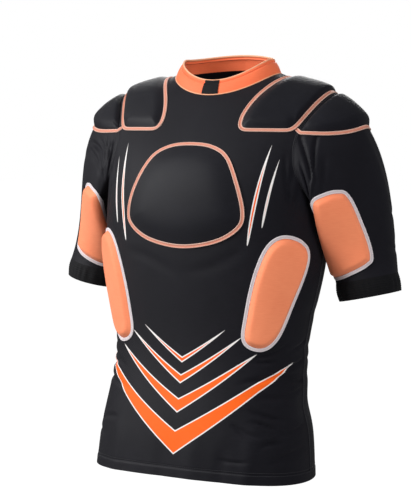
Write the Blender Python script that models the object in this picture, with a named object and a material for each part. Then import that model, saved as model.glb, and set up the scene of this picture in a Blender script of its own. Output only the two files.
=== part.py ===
"""Padded rugby protection top: a worn, hollow, short-sleeved stretch garment with sewn-on pads.

Metres, +Z up, front towards -Y, the wearer's left towards +X. The origin is the centre of the neck,
at the height where the shoulder seams meet the collar. Left pieces are worked out and mirrored.
"""

import bmesh
import bpy
import numpy as np

OBJECT_NAME = "padded_protection_top"
ACROSS = np.array((1.0, 0.0, 0.0))
UP = np.array((0.0, 0.0, 1.0))
FORWARD = np.array((0.0, -1.0, 0.0))
FLIP = np.array((-1.0, 1.0, 1.0))

# Cloth walls and seams
WALL = 0.002
CUFF_WALL = 0.003
SEAM_STEP = 0.0002
ARMHOLE_STEP = 0.0003
TRIM_LIFT = 0.0009
SLEEVE_BORDER_LIFT = 0.0021
TRIM_CLEARANCE = 0.0004
TAPE_WIDTH = 0.0062
TAPE_THICKNESS = 0.0014
BORDER_WIDTH = 0.0055

# Torso sections, from the hem up to the shoulders
HEM_HEIGHT = -0.628
HEM_FRONT_RISE = 0.008
ARMPIT_HEIGHT = -0.205
SECTION_COLUMNS = ("height", "half_width", "front_depth", "back_depth", "middle")
TORSO_SECTIONS = (
    (-0.628, 0.183, 0.117, 0.119, -0.068),
    (-0.560, 0.177, 0.115, 0.115, -0.062),
    (-0.440, 0.161, 0.106, 0.100, -0.047),
    (-0.370, 0.169, 0.114, 0.105, -0.039),
    (-0.290, 0.183, 0.126, 0.114, -0.033),
    (-0.205, 0.185, 0.133, 0.120, -0.028),
    (-0.120, 0.198, 0.130, 0.122, -0.011),
    (-0.050, 0.228, 0.119, 0.114, 0.006),
    (0.040, 0.246, 0.112, 0.106, 0.012),
)
FULLNESS = 0.20
FRONT_ARCH_HEIGHT = 0.20
BACK_ARCH_HEIGHT = 0.13

# Shoulder line, neckline and armhole
# Columns: across, height
SHOULDER_LINE = (
    (0.000, 0.016),
    (0.050, 0.012),
    (0.088, 0.005),
    (0.120, -0.006),
    (0.155, -0.016),
    (0.186, -0.027),
    (0.225, -0.050),
    (0.260, -0.085),
)
BACK_NECK_RISE = 0.024
NECK_RISE_SOFTNESS = 1.2
NECK_SIDE = 0.088
NECK_FRONT_HEIGHT = -0.0305
NECK_BACK_HEIGHT = 0.014
NECK_FRONT_ROUNDNESS = 1.6
NECK_BACK_ROUNDNESS = 2.0
SHOULDER_TIP = 0.186
# Columns: height, across
ARMHOLE_CURVE = (
    (-0.205, 0.185),
    (-0.180, 0.172),
    (-0.150, 0.161),
    (-0.120, 0.155),
    (-0.090, 0.156),
    (-0.060, 0.167),
    (-0.027, 0.186),
)

# Sleeve and cuff
CUFF_CENTRE = np.array((0.2415, 0.012, -0.315))
SLEEVE_LEAN = np.radians(12.5)
SLEEVE_RADIUS = 0.0495
CUFF_LENGTH = 0.029
CUFF_FLARE = 0.0012
CAP_START_SLOPE = np.radians(30)
UNDERARM_START_SLOPE = np.radians(46)
CAP_FORWARD = 0.27
SPREAD = 0.10
END_FORWARD = 0.30
CAP_PULL = 0.34
UNDERARM_PULL = 0.13
SLEEVE_END_PULL = 0.95
# A plus depth is a trough, a minus depth a swelling
# Columns: angle in degrees, share along, half angle in degrees, half length, depth
SLEEVE_FOLDS = (
    (76.0, 0.26, 12.0, 0.15, 0.0025),
    (110.0, 0.14, 13.0, 0.10, 0.0025),
    (-95.0, 0.38, 13.0, 0.22, 0.0030),
    (120.0, 0.52, 45.0, 0.36, -0.0120),
)
FOLD_FADE = 8

# Collar and its label
COLLAR_HEIGHT = 0.026
COLLAR_LEAN = np.radians(27)
LABEL_SHARE = 0.62
LABEL_THICKNESS = 0.0009

# Pads: outlines on their panels, and heights over the cloth
# Columns: across, height, down the left half
CHEST_OUTLINE = (
    (0.000, -0.111),
    (0.035, -0.115),
    (0.062, -0.131),
    (0.083, -0.170),
    (0.094, -0.209),
    (0.088, -0.232),
    (0.055, -0.252),
    (0.000, -0.261),
)
CHEST_PAD_HEIGHT = 0.007
# Columns: turn from the centre line in degrees, height
RIB_OUTLINE = (
    (55.0, -0.250),
    (67.5, -0.259),
    (72.5, -0.283),
    (66.0, -0.345),
    (59.0, -0.398),
    (49.0, -0.418),
    (38.0, -0.408),
    (37.5, -0.370),
    (40.0, -0.310),
    (46.0, -0.266),
)
RIB_PAD_HEIGHT = 0.009
# Columns: angle round the sleeve in degrees, share along the sleeve
BICEP_OUTLINE = (
    (78.0, 0.440),
    (96.0, 0.365),
    (116.0, 0.285),
    (131.0, 0.300),
    (141.0, 0.420),
    (147.0, 0.680),
    (144.0, 0.900),
    (126.0, 0.935),
    (97.0, 0.930),
    (69.0, 0.910),
    (61.0, 0.870),
    (66.0, 0.680),
    (70.0, 0.500),
)
BICEP_PAD_HEIGHT = 0.009
INNER_PAD_BOTTOM = -0.083
INNER_PAD_SEAM_NECK = 0.109
INNER_PAD_FRONT_NECK = 0.069
INNER_PAD_ARMHOLE_MARGIN = 0.0088
INNER_PAD_HEIGHTS = (0.0085, 0.0085)
OUTER_PAD_ARMHOLE_MARGIN = 0.010
OUTER_PAD_REACH = 0.235
OUTER_PAD_CORNER_REACH = 0.016
OUTER_PAD_FULLNESS = 3
OUTER_PAD_TURN = 69.0
OUTER_TAPE_START = 0.005
OUTER_PAD_HEIGHTS = (0.0050, 0.0110)
PAD_SQUARENESS = 12.0
PAD_EDGE_HEIGHT = 0.0016
PAD_RINGS = (0.0, 0.30, 0.58, 0.80, 0.94, 1.0)
PAD_CROWN = 5.0
INNER_PAD_GRID = (6, 14)
OUTER_PAD_GRID = (12, 5)

# Grid counts
SIDE_ROWS = 11
ARMHOLE_ROWS = 13
NECK_COLUMNS = 6
SEAM_COLUMNS = 5
SLEEVE_ROWS = 15
CUFF_ROWS = 2
COLLAR_ROWS = 2
OUTLINE_POINTS = 40
EDGE_CLOSENESS = 4
FINE_STEP = 1e-4
MERGE_DISTANCE = 1e-7
SHARP_ANGLE = np.radians(40)

# Colours and surface values: colour, roughness
BLACK_KNIT = ((0.020, 0.020, 0.024, 1.0), 0.72)
BLACK_PAD = ((0.023, 0.023, 0.027, 1.0), 0.68)
BLACK_ELASTIC = ((0.012, 0.012, 0.014, 1.0), 0.80)
ORANGE_COLLAR = ((1.0, 0.235, 0.055, 1.0), 0.62)
ORANGE_FOAM = ((0.86, 0.270, 0.115, 1.0), 0.66)
PEACH_TAPE = ((0.86, 0.370, 0.250, 1.0), 0.60)
PALE_BORDER = ((0.66, 0.60, 0.63, 1.0), 0.60)


def spline(table, places):
    """Natural cubic spline through a table of (knot, value) rows, read at an array of places."""
    knots, values = np.asarray(table, float).T
    gaps = np.diff(knots)
    slopes = np.diff(values) / gaps
    count = len(knots)
    matrix = np.eye(count)
    right_side = np.zeros(count)
    for i in range(1, count - 1):
        matrix[i, i - 1 : i + 2] = gaps[i - 1], 2 * (gaps[i - 1] + gaps[i]), gaps[i]
        right_side[i] = 6 * (slopes[i] - slopes[i - 1])
    bend = np.linalg.solve(matrix, right_side)
    places = np.asarray(places, float)
    i = np.clip(np.searchsorted(knots, places) - 1, 0, count - 2)
    gap = gaps[i]
    to_next = (knots[i + 1] - places) / gap
    from_last = 1 - to_next
    straight = to_next * values[i] + from_last * values[i + 1]
    curved = (to_next**3 - to_next) * bend[i] + (from_last**3 - from_last) * bend[i + 1]
    return straight + curved * gap**2 / 6


def section(column, height):
    """One column of the torso sections at a height."""
    rows = np.asarray(TORSO_SECTIONS)
    heights = rows[:, SECTION_COLUMNS.index("height")]
    values = rows[:, SECTION_COLUMNS.index(column)]
    return spline(np.stack((heights, values), axis=1), height)


def unit(vectors):
    """Vectors along the last axis, made one long."""
    return vectors / np.linalg.norm(vectors, axis=-1, keepdims=True)


def shoulder_height(across, side):
    """Height of the shoulder line; the back form rises to the nape inside the neckline."""
    inside = np.clip(1 - (across / NECK_SIDE) ** 2, 0, 1) ** NECK_RISE_SOFTNESS
    rise = BACK_NECK_RISE if side > 0 else 0.0
    return spline(SHOULDER_LINE, np.abs(across)) + rise * inside


def torso_point(turn, height, side):
    """The body form: an oval section, closed over the shoulder line by a rounded arch.

    turn runs from the centre line (0) to the side seam (a quarter turn), side is -1 front, +1 back.
    """
    across = section("half_width", height) * np.sin(turn)
    depth = section("front_depth" if side < 0 else "back_depth", height)
    oval = np.cos(turn) * (1 + FULLNESS * np.sin(turn) ** 2)
    arch_height = FRONT_ARCH_HEIGHT if side < 0 else BACK_ARCH_HEIGHT
    below = np.clip((shoulder_height(across, side) - height) / arch_height, 0, 1)
    arch = np.sqrt(1 - (1 - below) ** 2)
    y = section("middle", height) + side * depth * oval * arch
    return np.stack(np.broadcast_arrays(across, y, height), axis=-1)


def turn_at(across, height):
    """The turn at which the body form is this far across."""
    return np.arcsin(np.clip(across / section("half_width", height), -1, 1))


def armhole_across(height):
    """How far across the armhole seam lies at a height."""
    return spline(ARMHOLE_CURVE, height)


def half_panel(side):
    """Half of the front or back panel, rows from hem to top, columns from centre line to side.

    Heights run straight from hem to top edge; turns blend from even steps at the hem to the
    neckline and shoulder seam at the top, scaled to end on the side seam and the armhole.
    """
    neck_turn = np.linspace(0, np.pi / 2, NECK_COLUMNS + 1)
    neck_low = NECK_FRONT_HEIGHT if side < 0 else NECK_BACK_HEIGHT
    roundness = NECK_FRONT_ROUNDNESS if side < 0 else NECK_BACK_ROUNDNESS
    neck_top = shoulder_height(np.array(NECK_SIDE), side)
    tip_height = shoulder_height(np.array(SHOULDER_TIP), side)
    seam = np.linspace(NECK_SIDE, SHOULDER_TIP, SEAM_COLUMNS + 1)[1:]
    top_across = np.concatenate((NECK_SIDE * np.sin(neck_turn), seam))
    top_height = np.concatenate(
        (neck_top + (neck_low - neck_top) * np.cos(neck_turn) ** roundness, shoulder_height(seam, side))
    )
    top_turn = turn_at(top_across, top_height)

    side_rows = np.linspace(HEM_HEIGHT, ARMPIT_HEIGHT, SIDE_ROWS, endpoint=False)
    swing = (1 - np.cos(np.linspace(0, np.pi, ARMHOLE_ROWS + 1))) / 2
    armhole_rows = ARMPIT_HEIGHT + (tip_height - ARMPIT_HEIGHT) * swing
    edge_height = np.concatenate((side_rows, armhole_rows))
    edge_turn = turn_at(armhole_across(armhole_rows), armhole_rows)
    edge_turn[0] = np.pi / 2
    edge_turn = np.concatenate((np.full(SIDE_ROWS, np.pi / 2), edge_turn))

    share = np.linspace(0, 1, len(top_turn))
    climb = (edge_height - HEM_HEIGHT) / (tip_height - HEM_HEIGHT)
    hem_height = HEM_HEIGHT + (HEM_FRONT_RISE if side < 0 else 0.0) * np.cos(share * np.pi / 2) ** 2
    height = hem_height + climb[:, None] * (top_height - hem_height)
    spread = share + climb[:, None] ** 2 * (top_turn / top_turn[-1] - share)
    even_edge = np.pi / 2 + climb**2 * (top_turn[-1] - np.pi / 2)
    near_edge = share**EDGE_CLOSENESS
    turn = even_edge[:, None] * spread + (edge_turn - even_edge)[:, None] * near_edge
    return torso_point(turn, height, side)


def whole_panel(half):
    """Both halves of a panel, from the right edge to the left edge."""
    mirrored = half[:, :0:-1] * FLIP
    return np.concatenate((mirrored, half), axis=1)


def grid_normals(grid, wrap=False):
    """Unit normals of a grid of points from its two directions; columns may close on themselves."""
    if wrap:
        along_columns = np.roll(grid, -1, axis=1) - np.roll(grid, 1, axis=1)
    else:
        along_columns = np.gradient(grid, axis=1)
    return unit(np.cross(along_columns, np.gradient(grid, axis=0)))


def step_back(grid, edge_slice, inner_slice):
    """The grid with one edge moved a seam step towards the row or column inside it."""
    moved = grid.copy()
    moved[edge_slice] += SEAM_STEP * unit(grid[inner_slice] - grid[edge_slice])
    return moved


def armhole_ring(front, back):
    """Left armhole from the shoulder tip down the front, through the armpit and up the back."""
    down_front = front[SIDE_ROWS:, -1][::-1]
    up_back = back[SIDE_ROWS:, -1]
    return np.concatenate((down_front, up_back[1:-1]))


def sleeve_axis():
    """Direction down the sleeve, and the outward direction across it."""
    down = np.sin(SLEEVE_LEAN) * ACROSS - np.cos(SLEEVE_LEAN) * UP
    outward = np.cos(SLEEVE_LEAN) * ACROSS + np.sin(SLEEVE_LEAN) * UP
    return down, outward


def ring_at(ring, angle):
    """A closed ring of even angular steps read at any angle, by a smooth periodic cubic."""
    count = len(ring)
    place = np.asarray(angle) / (2 * np.pi) * count
    i = np.floor(place).astype(int)
    t = (place - i)[..., None]
    before, start, end, after = (ring[(i + k) % count] for k in (-1, 0, 1, 2))
    bend = 2 * before - 5 * start + 4 * end - after
    twist = 3 * start - before - 3 * end + after
    return 0.5 * (2 * start + (end - before) * t + bend * t**2 + twist * t**3)


def sleeve_point(ring, angle, along):
    """Left sleeve: strands that leave the armhole outwards and curve down to the cuff circle.

    angle is 0 at the shoulder tip, a quarter turn at the front; along is 0 at the armhole, 1 at
    the cuff. Folds are soft troughs or swellings along the spokes of the cuff circle, and fade
    out at both ends.
    """
    angle, along = np.broadcast_arrays(angle, along)
    down, outward = sleeve_axis()
    under = ((1 - np.cos(angle)) / 2)[..., None]
    slope = CAP_START_SLOPE + (UNDERARM_START_SLOPE - CAP_START_SLOPE) * under
    pull = CAP_PULL + (UNDERARM_PULL - CAP_PULL) * under
    start = ring_at(ring, angle)
    spoke = np.cos(angle)[..., None] * outward + np.sin(angle)[..., None] * FORWARD
    end = CUFF_CENTRE + SLEEVE_RADIUS * spoke
    leave = np.cos(slope) * ACROSS - np.sin(slope) * UP
    sideways = CAP_FORWARD * (1 - under) ** 2 + SPREAD * np.sin(angle)[..., None]
    leave = pull * (leave + sideways * FORWARD)
    arrive = pull * SLEEVE_END_PULL * (down + END_FORWARD * FORWARD)
    t = along[..., None]
    point = (
        (2 * t**3 - 3 * t**2 + 1) * start
        + (t**3 - 2 * t**2 + t) * leave
        + (3 * t**2 - 2 * t**3) * end
        + (t**3 - t**2) * arrive
    )
    between_ends = 1 - (2 * along - 1) ** FOLD_FADE
    for fold_angle, fold_along, half_angle, half_length, depth in SLEEVE_FOLDS:
        off = np.angle(np.exp(1j * (angle - np.radians(fold_angle)))) / np.radians(half_angle)
        bell = np.exp(-(off**2) - ((along - fold_along) / half_length) ** 2)
        trough = depth * between_ends * bell
        point = point - trough[..., None] * spoke
    return point


def neck_ring(front, back):
    """Neckline from the left shoulder seam round the front, then round the back."""
    front_half = front[-1, : NECK_COLUMNS + 1]
    back_half = back[-1, : NECK_COLUMNS + 1]
    return np.concatenate(
        (front_half[::-1], front_half[1:] * FLIP, back_half[-2::-1] * FLIP, back_half[1:-1])
    )


def new_object(name, points, faces, finish):
    """A mesh object with its own material, its doubles merged and its faces turned outwards."""
    mesh = bpy.data.meshes.new(name)
    mesh.from_pydata(points.tolist(), [], faces.tolist())
    shape = bmesh.new()
    shape.from_mesh(mesh)
    bmesh.ops.remove_doubles(shape, verts=shape.verts, dist=MERGE_DISTANCE)
    bmesh.ops.recalc_face_normals(shape, faces=shape.faces)
    shape.to_mesh(mesh)
    shape.free()
    mesh.shade_smooth()
    mesh.set_sharp_from_angle(angle=SHARP_ANGLE)
    material = bpy.data.materials.new(name)
    material.use_nodes = True
    surface = material.node_tree.nodes["Principled BSDF"]
    surface.inputs["Base Color"].default_value = finish[0]
    surface.inputs["Roughness"].default_value = finish[1]
    mesh.materials.append(material)
    bpy.data.collections[OBJECT_NAME].objects.link(bpy.data.objects.new(name, mesh))


def loft(name, grid, finish, wrap_rows=False, wrap_columns=False):
    """A closed body between an outer and an inner grid; open edges get a rim.

    grid is (2, rows, columns, 3): layer 0 outer, layer 1 inner.
    """
    rows, columns = grid.shape[1:3]
    index = np.arange(2 * rows * columns).reshape(2, rows, columns)
    if wrap_rows:
        index = np.concatenate((index, index[:, :1]), axis=1)
    if wrap_columns:
        index = np.concatenate((index, index[:, :, :1]), axis=2)
    quads = [quad_faces(index[0]), quad_faces(index[1])[:, ::-1]]
    if not wrap_rows:
        quads += [quad_faces(index[:, 0]), quad_faces(index[:, -1])]
    if not wrap_columns:
        quads += [quad_faces(index[:, :, 0]), quad_faces(index[:, :, -1])]
    new_object(name, grid.reshape(-1, 3), np.concatenate(quads), finish)


def quad_faces(index):
    """Four-cornered faces over a grid of point numbers."""
    corners = (index[:-1, :-1], index[:-1, 1:], index[1:, 1:], index[1:, :-1])
    return np.stack(corners, axis=-1).reshape(-1, 4)


def closed_curve(corners):
    """Closed smooth curve through the corners, OUTLINE_POINTS points long."""
    corners = np.asarray(corners, float)
    steps = np.arange(OUTLINE_POINTS) / OUTLINE_POINTS * 2 * np.pi
    return ring_at(corners, steps)


def mirrored_outline(rows):
    """A left half outline, top to bottom, closed by its mirrored right half."""
    rows = np.asarray(rows, float)
    return closed_curve(np.concatenate((rows, rows[-2:0:-1] * np.array((-1, 1)))))


def rounded_square(columns, rows):
    """A grid over a square of half side one, its squares drawn in to rounded ones; with their sizes."""
    a, b = np.meshgrid(np.linspace(-1, 1, columns + 1), np.linspace(-1, 1, rows + 1))
    size = np.maximum(np.abs(a), np.abs(b))
    reach = (np.abs(a) ** PAD_SQUARENESS + np.abs(b) ** PAD_SQUARENESS) ** (1 / PAD_SQUARENESS)
    draw_in = size / np.maximum(reach, FINE_STEP)
    return np.stack((a * draw_in, b * draw_in), axis=-1), size


def border_of(grid):
    """The border of a grid of points as one closed ring."""
    return np.concatenate((grid[0, :-1], grid[:-1, -1], grid[-1, :0:-1], grid[:0:-1, 0]))


def far_side(grid):
    """The last row of a grid of places, with the halves of both sides next to it."""
    half = len(grid) // 2
    return np.concatenate((grid[half:-1, 0], grid[-1], grid[half:-1, -1][::-1]))


def patch_directions(patch, places):
    """How a patch of cloth runs along its two directions, by small steps."""
    a, b = places[..., 0], places[..., 1]
    along_a = patch(a + FINE_STEP, b) - patch(a - FINE_STEP, b)
    along_b = patch(a, b + FINE_STEP) - patch(a, b - FINE_STEP)
    return along_a / (2 * FINE_STEP), along_b / (2 * FINE_STEP)


def patch_normals(patch, places):
    """Outward unit normals of a patch of cloth."""
    return unit(np.cross(*patch_directions(patch, places)))


def slide(patch, places, move):
    """The places reached by a short move along the cloth, by least squares on its two directions."""
    along_a, along_b = patch_directions(patch, places)
    aa = np.sum(along_a * along_a, axis=-1)
    ab = np.sum(along_a * along_b, axis=-1)
    bb = np.sum(along_b * along_b, axis=-1)
    move_a = np.sum(along_a * move, axis=-1)
    move_b = np.sum(along_b * move, axis=-1)
    steps = np.stack((move_a * bb - move_b * ab, move_b * aa - move_a * ab), axis=-1)
    return places + steps / (aa * bb - ab**2)[..., None]


def crowned(size, height):
    """Height over the cloth from a low edge (size 1) to a broad level crown (size 0)."""
    return PAD_EDGE_HEIGHT + (height - PAD_EDGE_HEIGHT) * (1 - size**PAD_CROWN)


def pad_layers(patch, places, size, height, mirror):
    """Crowned top and level underside of a pad over places on a patch."""
    points = patch(places[..., 0], places[..., 1])
    normals = patch_normals(patch, places)
    top = points + normals * (TRIM_LIFT + crowned(size, height))[..., None]
    under = points + normals * TRIM_LIFT
    return np.stack((top, under)) * np.array((mirror, 1, 1))


def round_pad(name, patch, outline, height, finish, mirror=1):
    """A pad inside a closed outline, on rings shrunk towards the outline's middle."""
    middle = outline.mean(axis=0)
    rings = np.asarray(PAD_RINGS)[:, None]
    places = middle + rings[..., None] * (outline - middle)
    layers = pad_layers(patch, places, np.broadcast_to(rings, places.shape[:2]), height, mirror)
    rows, columns = layers.shape[1:3]
    index = np.arange(2 * rows * columns).reshape(2, rows, columns)
    index = np.concatenate((index, index[:, :, :1]), axis=2)
    faces = [quad_faces(index[0]), quad_faces(index[1]), quad_faces(index[:, -1])]
    new_object(name, layers.reshape(-1, 3), np.concatenate(faces), finish)


def square_pad(name, patch, grid_counts, heights, finish, mirror=1):
    """A pad over a whole patch, on a grid with rounded corners; its height runs from first to last row."""
    places, size = rounded_square(*grid_counts)
    share = (places[..., 1] + 1) / 2
    height = heights[0] + (heights[1] - heights[0]) * share
    loft(name, pad_layers(patch, places, size, height, mirror), finish)


def tape(name, patch, outline, width, finish, mirror=1, closed=True, lift=TRIM_LIFT):
    """A flat tape that lies just outside an outline on a patch; its section is a low rectangle."""
    points = patch(outline[:, 0], outline[:, 1])
    normals = patch_normals(patch, outline)
    if closed:
        tangent = np.roll(points, -1, axis=0) - np.roll(points, 1, axis=0)
    else:
        tangent = np.gradient(points, axis=0)
    outward = unit(np.cross(unit(tangent), normals))
    middle = points.mean(axis=0)
    outward *= np.sign(np.sum((points - middle) * outward))
    corners = []
    for reach, height in ((0, 0), (width, 0), (width, TAPE_THICKNESS), (0, TAPE_THICKNESS)):
        places = slide(patch, outline, outward * (TRIM_CLEARANCE + reach))
        corner = patch(places[:, 0], places[:, 1])
        corners.append(corner + (lift + height) * patch_normals(patch, places))
    section_ring = np.stack(corners, axis=1)
    section_ring = section_ring * np.array((mirror, 1, 1))
    columns = len(points)
    index = np.arange(columns * 4).reshape(columns, 4)
    index = np.concatenate((index, index[:, :1]), axis=1)
    faces = []
    if closed:
        index = np.concatenate((index, index[:1]), axis=0)
    else:
        faces = [index[:1, :4], index[-1:, :4]]
    faces.append(quad_faces(index))
    new_object(name, section_ring.reshape(-1, 3), np.concatenate(faces), finish)


def seam_normals(front, back, sleeve):
    """Wall directions of both panels and the sleeve, shared where two pieces meet at a seam."""
    at_front = grid_normals(front)
    at_back = -grid_normals(back)
    at_sleeve = grid_normals(sleeve, wrap=True)
    side_seam = np.s_[: SIDE_ROWS + 1, -1]
    at_front[side_seam] = at_back[side_seam] = unit(at_front[side_seam] + at_back[side_seam])
    shoulder = np.s_[-1, NECK_COLUMNS:]
    at_front[shoulder] = at_back[shoulder] = unit(at_front[shoulder] + at_back[shoulder])
    arm = unit(armhole_ring(at_front, at_back) + at_sleeve[0])
    at_sleeve[0] = arm
    at_front[SIDE_ROWS:, -1] = arm[ARMHOLE_ROWS::-1]
    at_back[SIDE_ROWS:, -1] = np.concatenate((arm[ARMHOLE_ROWS:], arm[:1]))
    return at_front, at_back, at_sleeve


def armhole_parting(ring, wall_directions):
    """Square to the seam and to its wall: the way from the body's edge to the sleeve's edge."""
    tangent = np.roll(ring, -1, axis=0) - np.roll(ring, 1, axis=0)
    return unit(np.cross(wall_directions, tangent))


def make_body(name, half, normals, parting):
    """A front or back panel, stepped back from its side, armhole, shoulder and neck edges."""
    outer = step_back(half, np.s_[: SIDE_ROWS + 1, -1], np.s_[: SIDE_ROWS + 1, -2])
    outer = step_back(outer, np.s_[-1], np.s_[-2])
    outer[SIDE_ROWS:, -1] -= ARMHOLE_STEP * parting
    inner = outer - WALL * normals
    loft(name, np.stack((whole_panel(outer), whole_panel(inner))), BLACK_KNIT)


def make_sleeves(ring, sleeve, normals, parting):
    """Both sleeves and their cuff bands, as tubes along the same strands."""
    down, outward = sleeve_axis()
    outer = step_back(sleeve, np.s_[-1], np.s_[-2])
    outer[0] += ARMHOLE_STEP * parting
    layers = np.stack((outer, outer - WALL * normals))
    angles = np.arange(len(ring)) / len(ring) * 2 * np.pi
    spokes = np.cos(angles)[:, None] * outward + np.sin(angles)[:, None] * FORWARD
    steps = np.linspace(0, 1, CUFF_ROWS + 1)[:, None, None]
    radius = SLEEVE_RADIUS + CUFF_FLARE * np.sin(np.pi * steps)
    cuff = CUFF_CENTRE + down * (SEAM_STEP + CUFF_LENGTH * steps) + radius * spokes
    cuff_layers = np.stack((cuff, cuff - CUFF_WALL * spokes))
    for side_name, mirror in (("left", 1), ("right", -1)):
        flip = np.array((mirror, 1, 1))
        loft(f"sleeve_{side_name}", layers * flip, BLACK_KNIT, wrap_columns=True)
        loft(f"cuff_{side_name}", cuff_layers * flip, BLACK_ELASTIC, wrap_columns=True)


def collar_rows(ring):
    """The collar band: each neckline point climbs by the collar's height, leaning to the neck."""
    level = ring * (1 - UP)
    outward = unit(level - level.mean(axis=0))
    climb = np.cos(COLLAR_LEAN) * UP - np.sin(COLLAR_LEAN) * outward
    face = np.cos(COLLAR_LEAN) * outward + np.sin(COLLAR_LEAN) * UP
    steps = np.linspace(0, 1, COLLAR_ROWS + 1)[:, None, None]
    rows = ring + (TRIM_CLEARANCE + COLLAR_HEIGHT * steps) * climb
    return rows, np.broadcast_to(face, rows.shape)


def make_collar(ring):
    """The stand collar, and the label patch on its front made from the collar's points."""
    rows, face = collar_rows(ring)
    loft("collar", np.stack((rows, rows - WALL * face)), ORANGE_COLLAR, wrap_columns=True)
    front = NECK_COLUMNS
    near = rows[:, front - 1 : front + 2]
    ends = near[:, 1:2] + LABEL_SHARE * (near - near[:, 1:2])
    low = ends + TRIM_CLEARANCE * face[:, front : front + 1]
    high = low + LABEL_THICKNESS * face[:, front : front + 1]
    loft("collar_label", np.stack((high, low)), BLACK_ELASTIC)


def chest_patch(across, height):
    """The front panel by how far across and how high."""
    return torso_point(turn_at(across, height), height, -1)


def rib_patch(turn_degrees, height):
    """The front panel by turn in degrees and height."""
    return torso_point(np.radians(turn_degrees), height, -1)


def inner_shoulder_patch(across_share, over):
    """The body over the shoulder seam: across from neck side (-1) to armhole (1), over from the
    front edge (-1) through the seam (0) to the back edge (1)."""
    drop = over**2
    share = (across_share + 1) / 2
    tip_height = ARMHOLE_CURVE[-1][0]
    arm_height = tip_height + (INNER_PAD_BOTTOM - tip_height) * drop
    arm_side = armhole_across(arm_height) - INNER_PAD_ARMHOLE_MARGIN
    neck_side = INNER_PAD_SEAM_NECK + (INNER_PAD_FRONT_NECK - INNER_PAD_SEAM_NECK) * drop * (2 - drop)
    arm_end = SHOULDER_TIP - INNER_PAD_ARMHOLE_MARGIN
    seam_height = shoulder_height(INNER_PAD_SEAM_NECK + share * (arm_end - INNER_PAD_SEAM_NECK), -1)
    height = seam_height + (INNER_PAD_BOTTOM - seam_height) * drop
    turn = turn_at(neck_side + share * (arm_side - neck_side), height)
    front = torso_point(turn, height, -1)
    back = torso_point(turn, height, 1)
    return np.where((over < 0)[..., None], front, back)


def outer_pad_place(turn_share, reach_share):
    """The outer shoulder pad's place on the sleeve: angle in degrees, and share along."""
    full = 1 - np.abs(turn_share) ** OUTER_PAD_FULLNESS
    reach = OUTER_PAD_CORNER_REACH + (OUTER_PAD_REACH - OUTER_PAD_CORNER_REACH) * full
    share = (reach_share + 1) / 2
    along = OUTER_PAD_ARMHOLE_MARGIN + share * (reach - OUTER_PAD_ARMHOLE_MARGIN)
    return turn_share * OUTER_PAD_TURN, along


def tape_line(edge):
    """The outer pad's lower edge on the sleeve, lengthened at both ends to the armhole."""
    line = np.stack(outer_pad_place(*edge.T), axis=-1)
    ends = line[[0, -1]]
    ends[:, 1] = OUTER_TAPE_START
    return np.concatenate((ends[:1], line, ends[1:]))


def make_pads(ring):
    """All pads, with the tapes and borders round them."""
    chest = mirrored_outline(CHEST_OUTLINE)
    round_pad("chest_pad", chest_patch, chest, CHEST_PAD_HEIGHT, BLACK_PAD)
    tape("chest_tape", chest_patch, chest, TAPE_WIDTH, PEACH_TAPE)

    def sleeve_patch(angle_degrees, along):
        return sleeve_point(ring, np.radians(angle_degrees), along)

    def outer_shoulder_patch(turn_share, reach_share):
        return sleeve_patch(*outer_pad_place(turn_share, reach_share))

    rib = closed_curve(RIB_OUTLINE)
    bicep = closed_curve(BICEP_OUTLINE)
    inner_edge = border_of(rounded_square(*INNER_PAD_GRID)[0])
    outer_edge = tape_line(far_side(rounded_square(*OUTER_PAD_GRID)[0]))
    for end, mirror in (("left", 1), ("right", -1)):
        round_pad(f"rib_pad_{end}", rib_patch, rib, RIB_PAD_HEIGHT, ORANGE_FOAM, mirror)
        tape(f"rib_border_{end}", rib_patch, rib, BORDER_WIDTH, PALE_BORDER, mirror)
        round_pad(f"bicep_pad_{end}", sleeve_patch, bicep, BICEP_PAD_HEIGHT, ORANGE_FOAM, mirror)
        bicep_border = f"bicep_border_{end}"
        tape(bicep_border, sleeve_patch, bicep, BORDER_WIDTH, PALE_BORDER, mirror, lift=SLEEVE_BORDER_LIFT)
        inner = f"shoulder_pad_inner_{end}"
        square_pad(inner, inner_shoulder_patch, INNER_PAD_GRID, INNER_PAD_HEIGHTS, BLACK_PAD, mirror)
        tape(f"shoulder_tape_inner_{end}", inner_shoulder_patch, inner_edge, TAPE_WIDTH, PEACH_TAPE, mirror)
        outer = f"shoulder_pad_outer_{end}"
        square_pad(outer, outer_shoulder_patch, OUTER_PAD_GRID, OUTER_PAD_HEIGHTS, BLACK_PAD, mirror)
        lower = f"shoulder_tape_outer_{end}"
        tape(lower, sleeve_patch, outer_edge, TAPE_WIDTH, PEACH_TAPE, mirror, closed=False)


def main():
    for old in list(bpy.data.objects):
        bpy.data.objects.remove(old, do_unlink=True)
    group = bpy.data.collections.new(OBJECT_NAME)
    bpy.context.scene.collection.children.link(group)

    front = half_panel(-1)
    back = half_panel(1)
    ring = armhole_ring(front, back)
    angles = np.arange(len(ring)) / len(ring) * 2 * np.pi
    along = np.linspace(0, 1, SLEEVE_ROWS + 1)[:, None]
    sleeve = sleeve_point(ring, angles, along)
    at_front, at_back, at_sleeve = seam_normals(front, back, sleeve)
    parting = armhole_parting(ring, at_sleeve[0])
    make_body("body_front", front, at_front, parting[ARMHOLE_ROWS::-1])
    make_body("body_back", back, at_back, np.concatenate((parting[ARMHOLE_ROWS:], parting[:1])))
    make_sleeves(ring, sleeve, at_sleeve, parting)
    make_collar(neck_ring(front, back))
    make_pads(ring)


main()
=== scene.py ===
"""Looks of a padded rugby protection top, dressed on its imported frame.

Metres, +Z up, front towards -Y, the wearer's left towards +X. Every piece is a surface worked out as
whole arrays on the same form as the solids: cloth is a thin shell, a pad is a bevelled closed form
over a patch of the cloth, and tapes, bindings and seams are profiles carried along their lines.
"""

import bpy
import numpy as np
from mathutils import Matrix, Vector


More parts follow.
